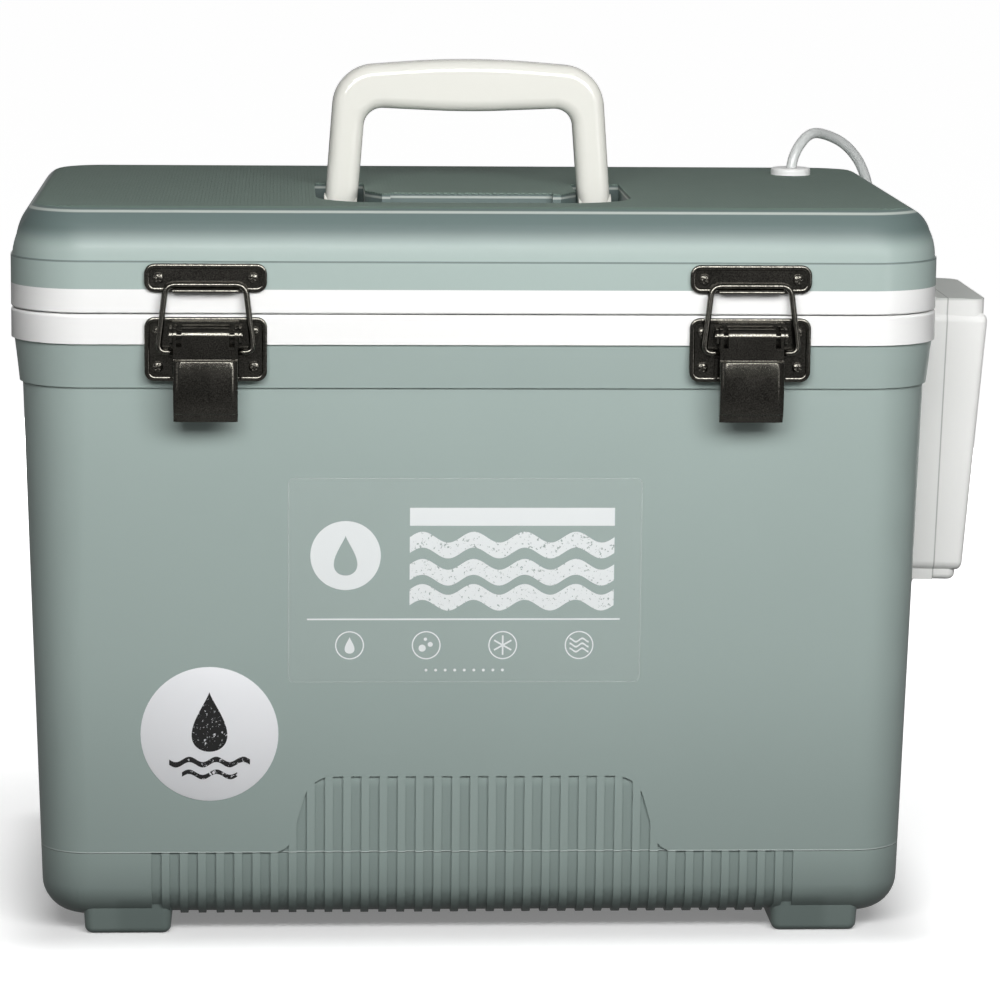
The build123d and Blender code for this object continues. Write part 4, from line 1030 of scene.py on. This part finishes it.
# %% Latch screws
keeper_screw_out = 21.8
base_screw_out, base_screw_up = 22.2, 8.15
keeper_places = [
    (across + end * keeper_screw_out, keeper_up) for _, across in latches for end in (-1, 1)
]
base_places = [
    (across + end * base_screw_out, base_up + row * base_screw_up)
    for _, across in latches for end in (-1, 1) for row in (-1, 1)
]
for node, places in (("keeper_screws", keeper_places), ("base_screws", base_places)):
    turns = np.random.default_rng(7).uniform(0, math.pi / 2, len(places))
    grids = [screw_head(*place, turn) for place, turn in zip(places, turns)]
    grids += [screw_shank(*place) for place in places]
    heads = new_piece(node[:-1] + "_heads", grids, finishes["latch_metal"])
    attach(heads, body_of[node])
    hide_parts(node)
    print(node, len(places))

# %% [markdown]
# ## The label and the round sticker
# A clear film carries white ink, and a white paper disc carries black ink. Both are thin sheets
# pressed on the front wall, which leans back by its mould draft. Each motif is a small grid: its
# two parameters give a place across and up the wall, and one function lays that on the wall.


# %% The front wall
def on_front(across, up, proud):
    """A point of the leaning front wall: the wall draws in by the draft's tangent for each
    millimetre below the flange, and proud moves the point out along the wall's normal."""
    back = rim_depth / 2 - wall_inset - (flange_height - up) * math.tan(draft)
    point = np.stack([across, -back, up], axis=-1)
    return from_drawing(point + proud * np.array([0.0, -math.cos(draft), -math.sin(draft)]))


def circle(radius, steps=64):
    """A circle's outline: radius times the cosine and the sine of an angle."""
    angle = np.linspace(0, 2 * math.pi, steps + 1)
    return radius * np.column_stack([np.cos(angle), np.sin(angle)])


def drop(height, steps=64):
    """A falling drop: its width is the sine of an angle times the half angle's sine to the
    power 1.6, so it ends in a point at the top."""
    angle = math.pi / 2 - np.linspace(0, 2 * math.pi, steps + 1)
    width = 0.42 * height * np.sin(angle) * np.abs(np.sin(angle / 2)) ** 1.6
    return np.column_stack([width, height / 2 * np.cos(angle)])


def between(inner, outer):
    """The band between two outlines that have the same number of points."""
    return np.stack([inner, outer])


def ripple(length, swing, waves, thick, steps=96):
    """A wavy band: its middle line is a sine, and its two edges lie half its thickness away."""
    along = np.linspace(-length / 2, length / 2, steps)
    line = swing * np.sin(along / length * waves * 2 * math.pi)
    return np.stack([
        np.column_stack([along, line - thick / 2]), np.column_stack([along, line + thick / 2]),
    ])


def bar(length, thick, turn=0.0):
    """A straight band, turned by an angle."""
    corners = ripple(length, 0.0, 1, thick, steps=2)
    spin = np.array([[math.cos(turn), math.sin(turn)], [-math.sin(turn), math.cos(turn)]])
    return corners @ spin


def filled(outline):
    """The whole area in an outline, from its middle point outwards."""
    return between(np.repeat(outline.mean(axis=0)[None], len(outline), axis=0), outline)


def laid(motif, across, up, proud):
    """A flat motif moved to its place and laid on the front wall."""
    return on_front(motif[..., 0] + across, motif[..., 1] + up, proud)

# %% [markdown]
# Ink printed on a slightly rough sheet is missing in specks. A fine noise gives the specks: where
# it is above a limit, the ink's alpha falls to 0 and the sheet below shows. The film itself is
# nearly clear, and its cut edge is a paler, less clear rim: a painted highlight where the edge
# catches light.


# %% Inks and films
def worn_ink(name, color, rough, keep):
    """Ink that is missing in specks, where a noise is above a limit."""
    ink = new_finish(name, color, rough, Tone_Amount=0.05, Grain_Height=0.02)
    tree = ink.node_tree
    place = add_node(tree, "ShaderNodeTexCoord")
    specks = add_node(tree, "ShaderNodeTexNoise", {
        "Vector": place.outputs["Object"], "Scale": 650.0, "Detail": 4.0, "Roughness": 0.7,
    })
    shown = ramp(tree, specks.outputs["Fac"], keep, keep + 0.03, 1.0, 0.0)
    tree.links.new(shown, tree.nodes["Principled BSDF"].inputs["Alpha"])
    return ink


def clear_film(name, alpha):
    """A pale sheet with the same small alpha all over."""
    return new_finish(
        name, (0.85, 0.87, 0.86), 0.2, {"Alpha": alpha}, Tone_Amount=0.02, Grain_Height=0.01,
    )


ink_white = (0.80, 0.83, 0.83)
white_ink = new_finish("white_ink", ink_white, 0.4, Tone_Amount=0.03, Grain_Height=0.02)
speckled_ink = worn_ink("speckled_white_ink", ink_white, 0.4, 0.60)
black_ink = worn_ink("speckled_black_ink", (0.012, 0.012, 0.012), 0.45, 0.60)
paper = new_finish(
    "sticker_paper", (0.80, 0.81, 0.83), 0.35, {"Coat Weight": 0.3},
    Tone_Amount=0.02, Grain_Height=0.02,
)
print("inks", white_ink.name, speckled_ink.name, black_ink.name)

# %% Label film
label_across, label_up = -5.2, 172.75
label_half_across, label_half_up, label_corner = 82.85, 48.85, 3.0
film_rim = 0.35
film_proud, print_proud = 0.06, 0.12


def on_label(motif, across, up, proud=print_proud):
    """A flat motif laid at a place that is measured from the label's middle."""
    return laid(motif, label_across + across, label_up + up, proud)


def stuck_on(name, grids, material):
    """A printed or stuck piece that rides on the tub."""
    piece = new_piece(name, grids, material)
    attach(piece, "tub")


outer_edge = rounded(label_half_across, label_half_up, label_corner)
inner_edge = rounded(
    label_half_across - film_rim, label_half_up - film_rim, label_corner - film_rim,
)
middle_film = on_label(filled(inner_edge), 0, 0, film_proud)
# Painted highlight: the film's cut edge is a paler, less clear rim.
film_edge_painted_highlight = on_label(between(inner_edge, outer_edge), 0, 0, film_proud)
stuck_on("label_film", [middle_film], clear_film("clear_film", 0.045))
stuck_on("label_film_painted_edge_highlight", [film_edge_painted_highlight], clear_film("film_edge", 0.28))
print("label", 2 * label_half_across, "by", 2 * label_half_up, "mm")

# %% [markdown]
# The print is generic: a drop in a disc, a bar over three ripples, and a row of rings with a
# drop, bubbles, frost and ripples in them. An outline joined to its own middle gives a filled
# motif, and two outlines joined to each other give a ring, or a disc with a drop left out of it.
# Every number is in millimetres, apart from the count of waves in a ripple.

# %% Label print
icon_up = -31.0
icon_places = [(column - 1.5) * 36.0 for column in range(4)]
drop_icon, bubble_icon, frost_icon, ripple_icon = icon_places
bubbles = [(circle(1.7), -1.9, -1.4), (circle(1.2), 1.9, 0.4), (circle(0.8), -0.4, 2.9)]
frost = [bar(9.4, 0.8, math.pi / 3 * arm + math.pi / 2) for arm in range(3)]
printed = [
    on_label(between(drop(19.0), circle(16.5)), -56.0, 12.0),
    on_label(bar(96.0, 8.6), 22.0, 30.5),
    on_label(bar(147.0, 0.8), -0.5, -18.5),
]
ring = between(circle(6.2), circle(6.8))
printed += [on_label(ring, across, icon_up) for across in icon_places]
printed.append(on_label(filled(drop(8.0)), drop_icon, icon_up))
printed += [
    on_label(filled(shape), bubble_icon + across, icon_up + up) for shape, across, up in bubbles
]
printed += [on_label(arm, frost_icon, icon_up) for arm in frost]
printed += [
    on_label(ripple(9.0, 0.8, 1.5, 0.9), ripple_icon, icon_up + up) for up in (-2.4, 0.0, 2.4)
]
printed += [on_label(filled(circle(0.7)), dot * 4.5, -43.0) for dot in range(-4, 5)]
ripples = [on_label(ripple(96.0, 2.6, 4.0, 7.6), 22.0, up) for up in (17.0, 4.0, -8.0)]
stuck_on("label_print", printed, white_ink)
stuck_on("label_ripples", ripples, speckled_ink)
print("printed motifs", len(printed) + len(ripples))

# %% [markdown]
# The sticker is a shallow cap: a flat disc that stands a little proud, and two more rings that
# take its edge down to the wall. Its print is a drop over two ripples.

# %% Round sticker
sticker_across, sticker_up, sticker_radius = -124.94, 99.0, 32.4


def on_sticker(motif, up, proud):
    """A flat motif laid at a height that is measured from the sticker's middle."""
    return laid(motif, sticker_across, sticker_up + up, proud)


disc = np.concatenate([
    on_sticker(filled(circle(sticker_radius - 0.1)), 0.0, 0.18),
    on_sticker(circle(sticker_radius)[None], 0.0, 0.12),
    on_sticker(circle(sticker_radius)[None], 0.0, 0.0),
])
stuck_on("sticker_disc", [disc], paper)
stuck_on("sticker_print", [
    on_sticker(filled(drop(29.0)), 6.0, 0.24),
    on_sticker(ripple(38.0, 1.3, 3.0, 2.6), -13.5, 0.24),
    on_sticker(ripple(26.0, 1.3, 2.0, 2.2), -19.5, 0.24),
], black_ink)
print("sticker", 2 * sticker_radius, "mm across")
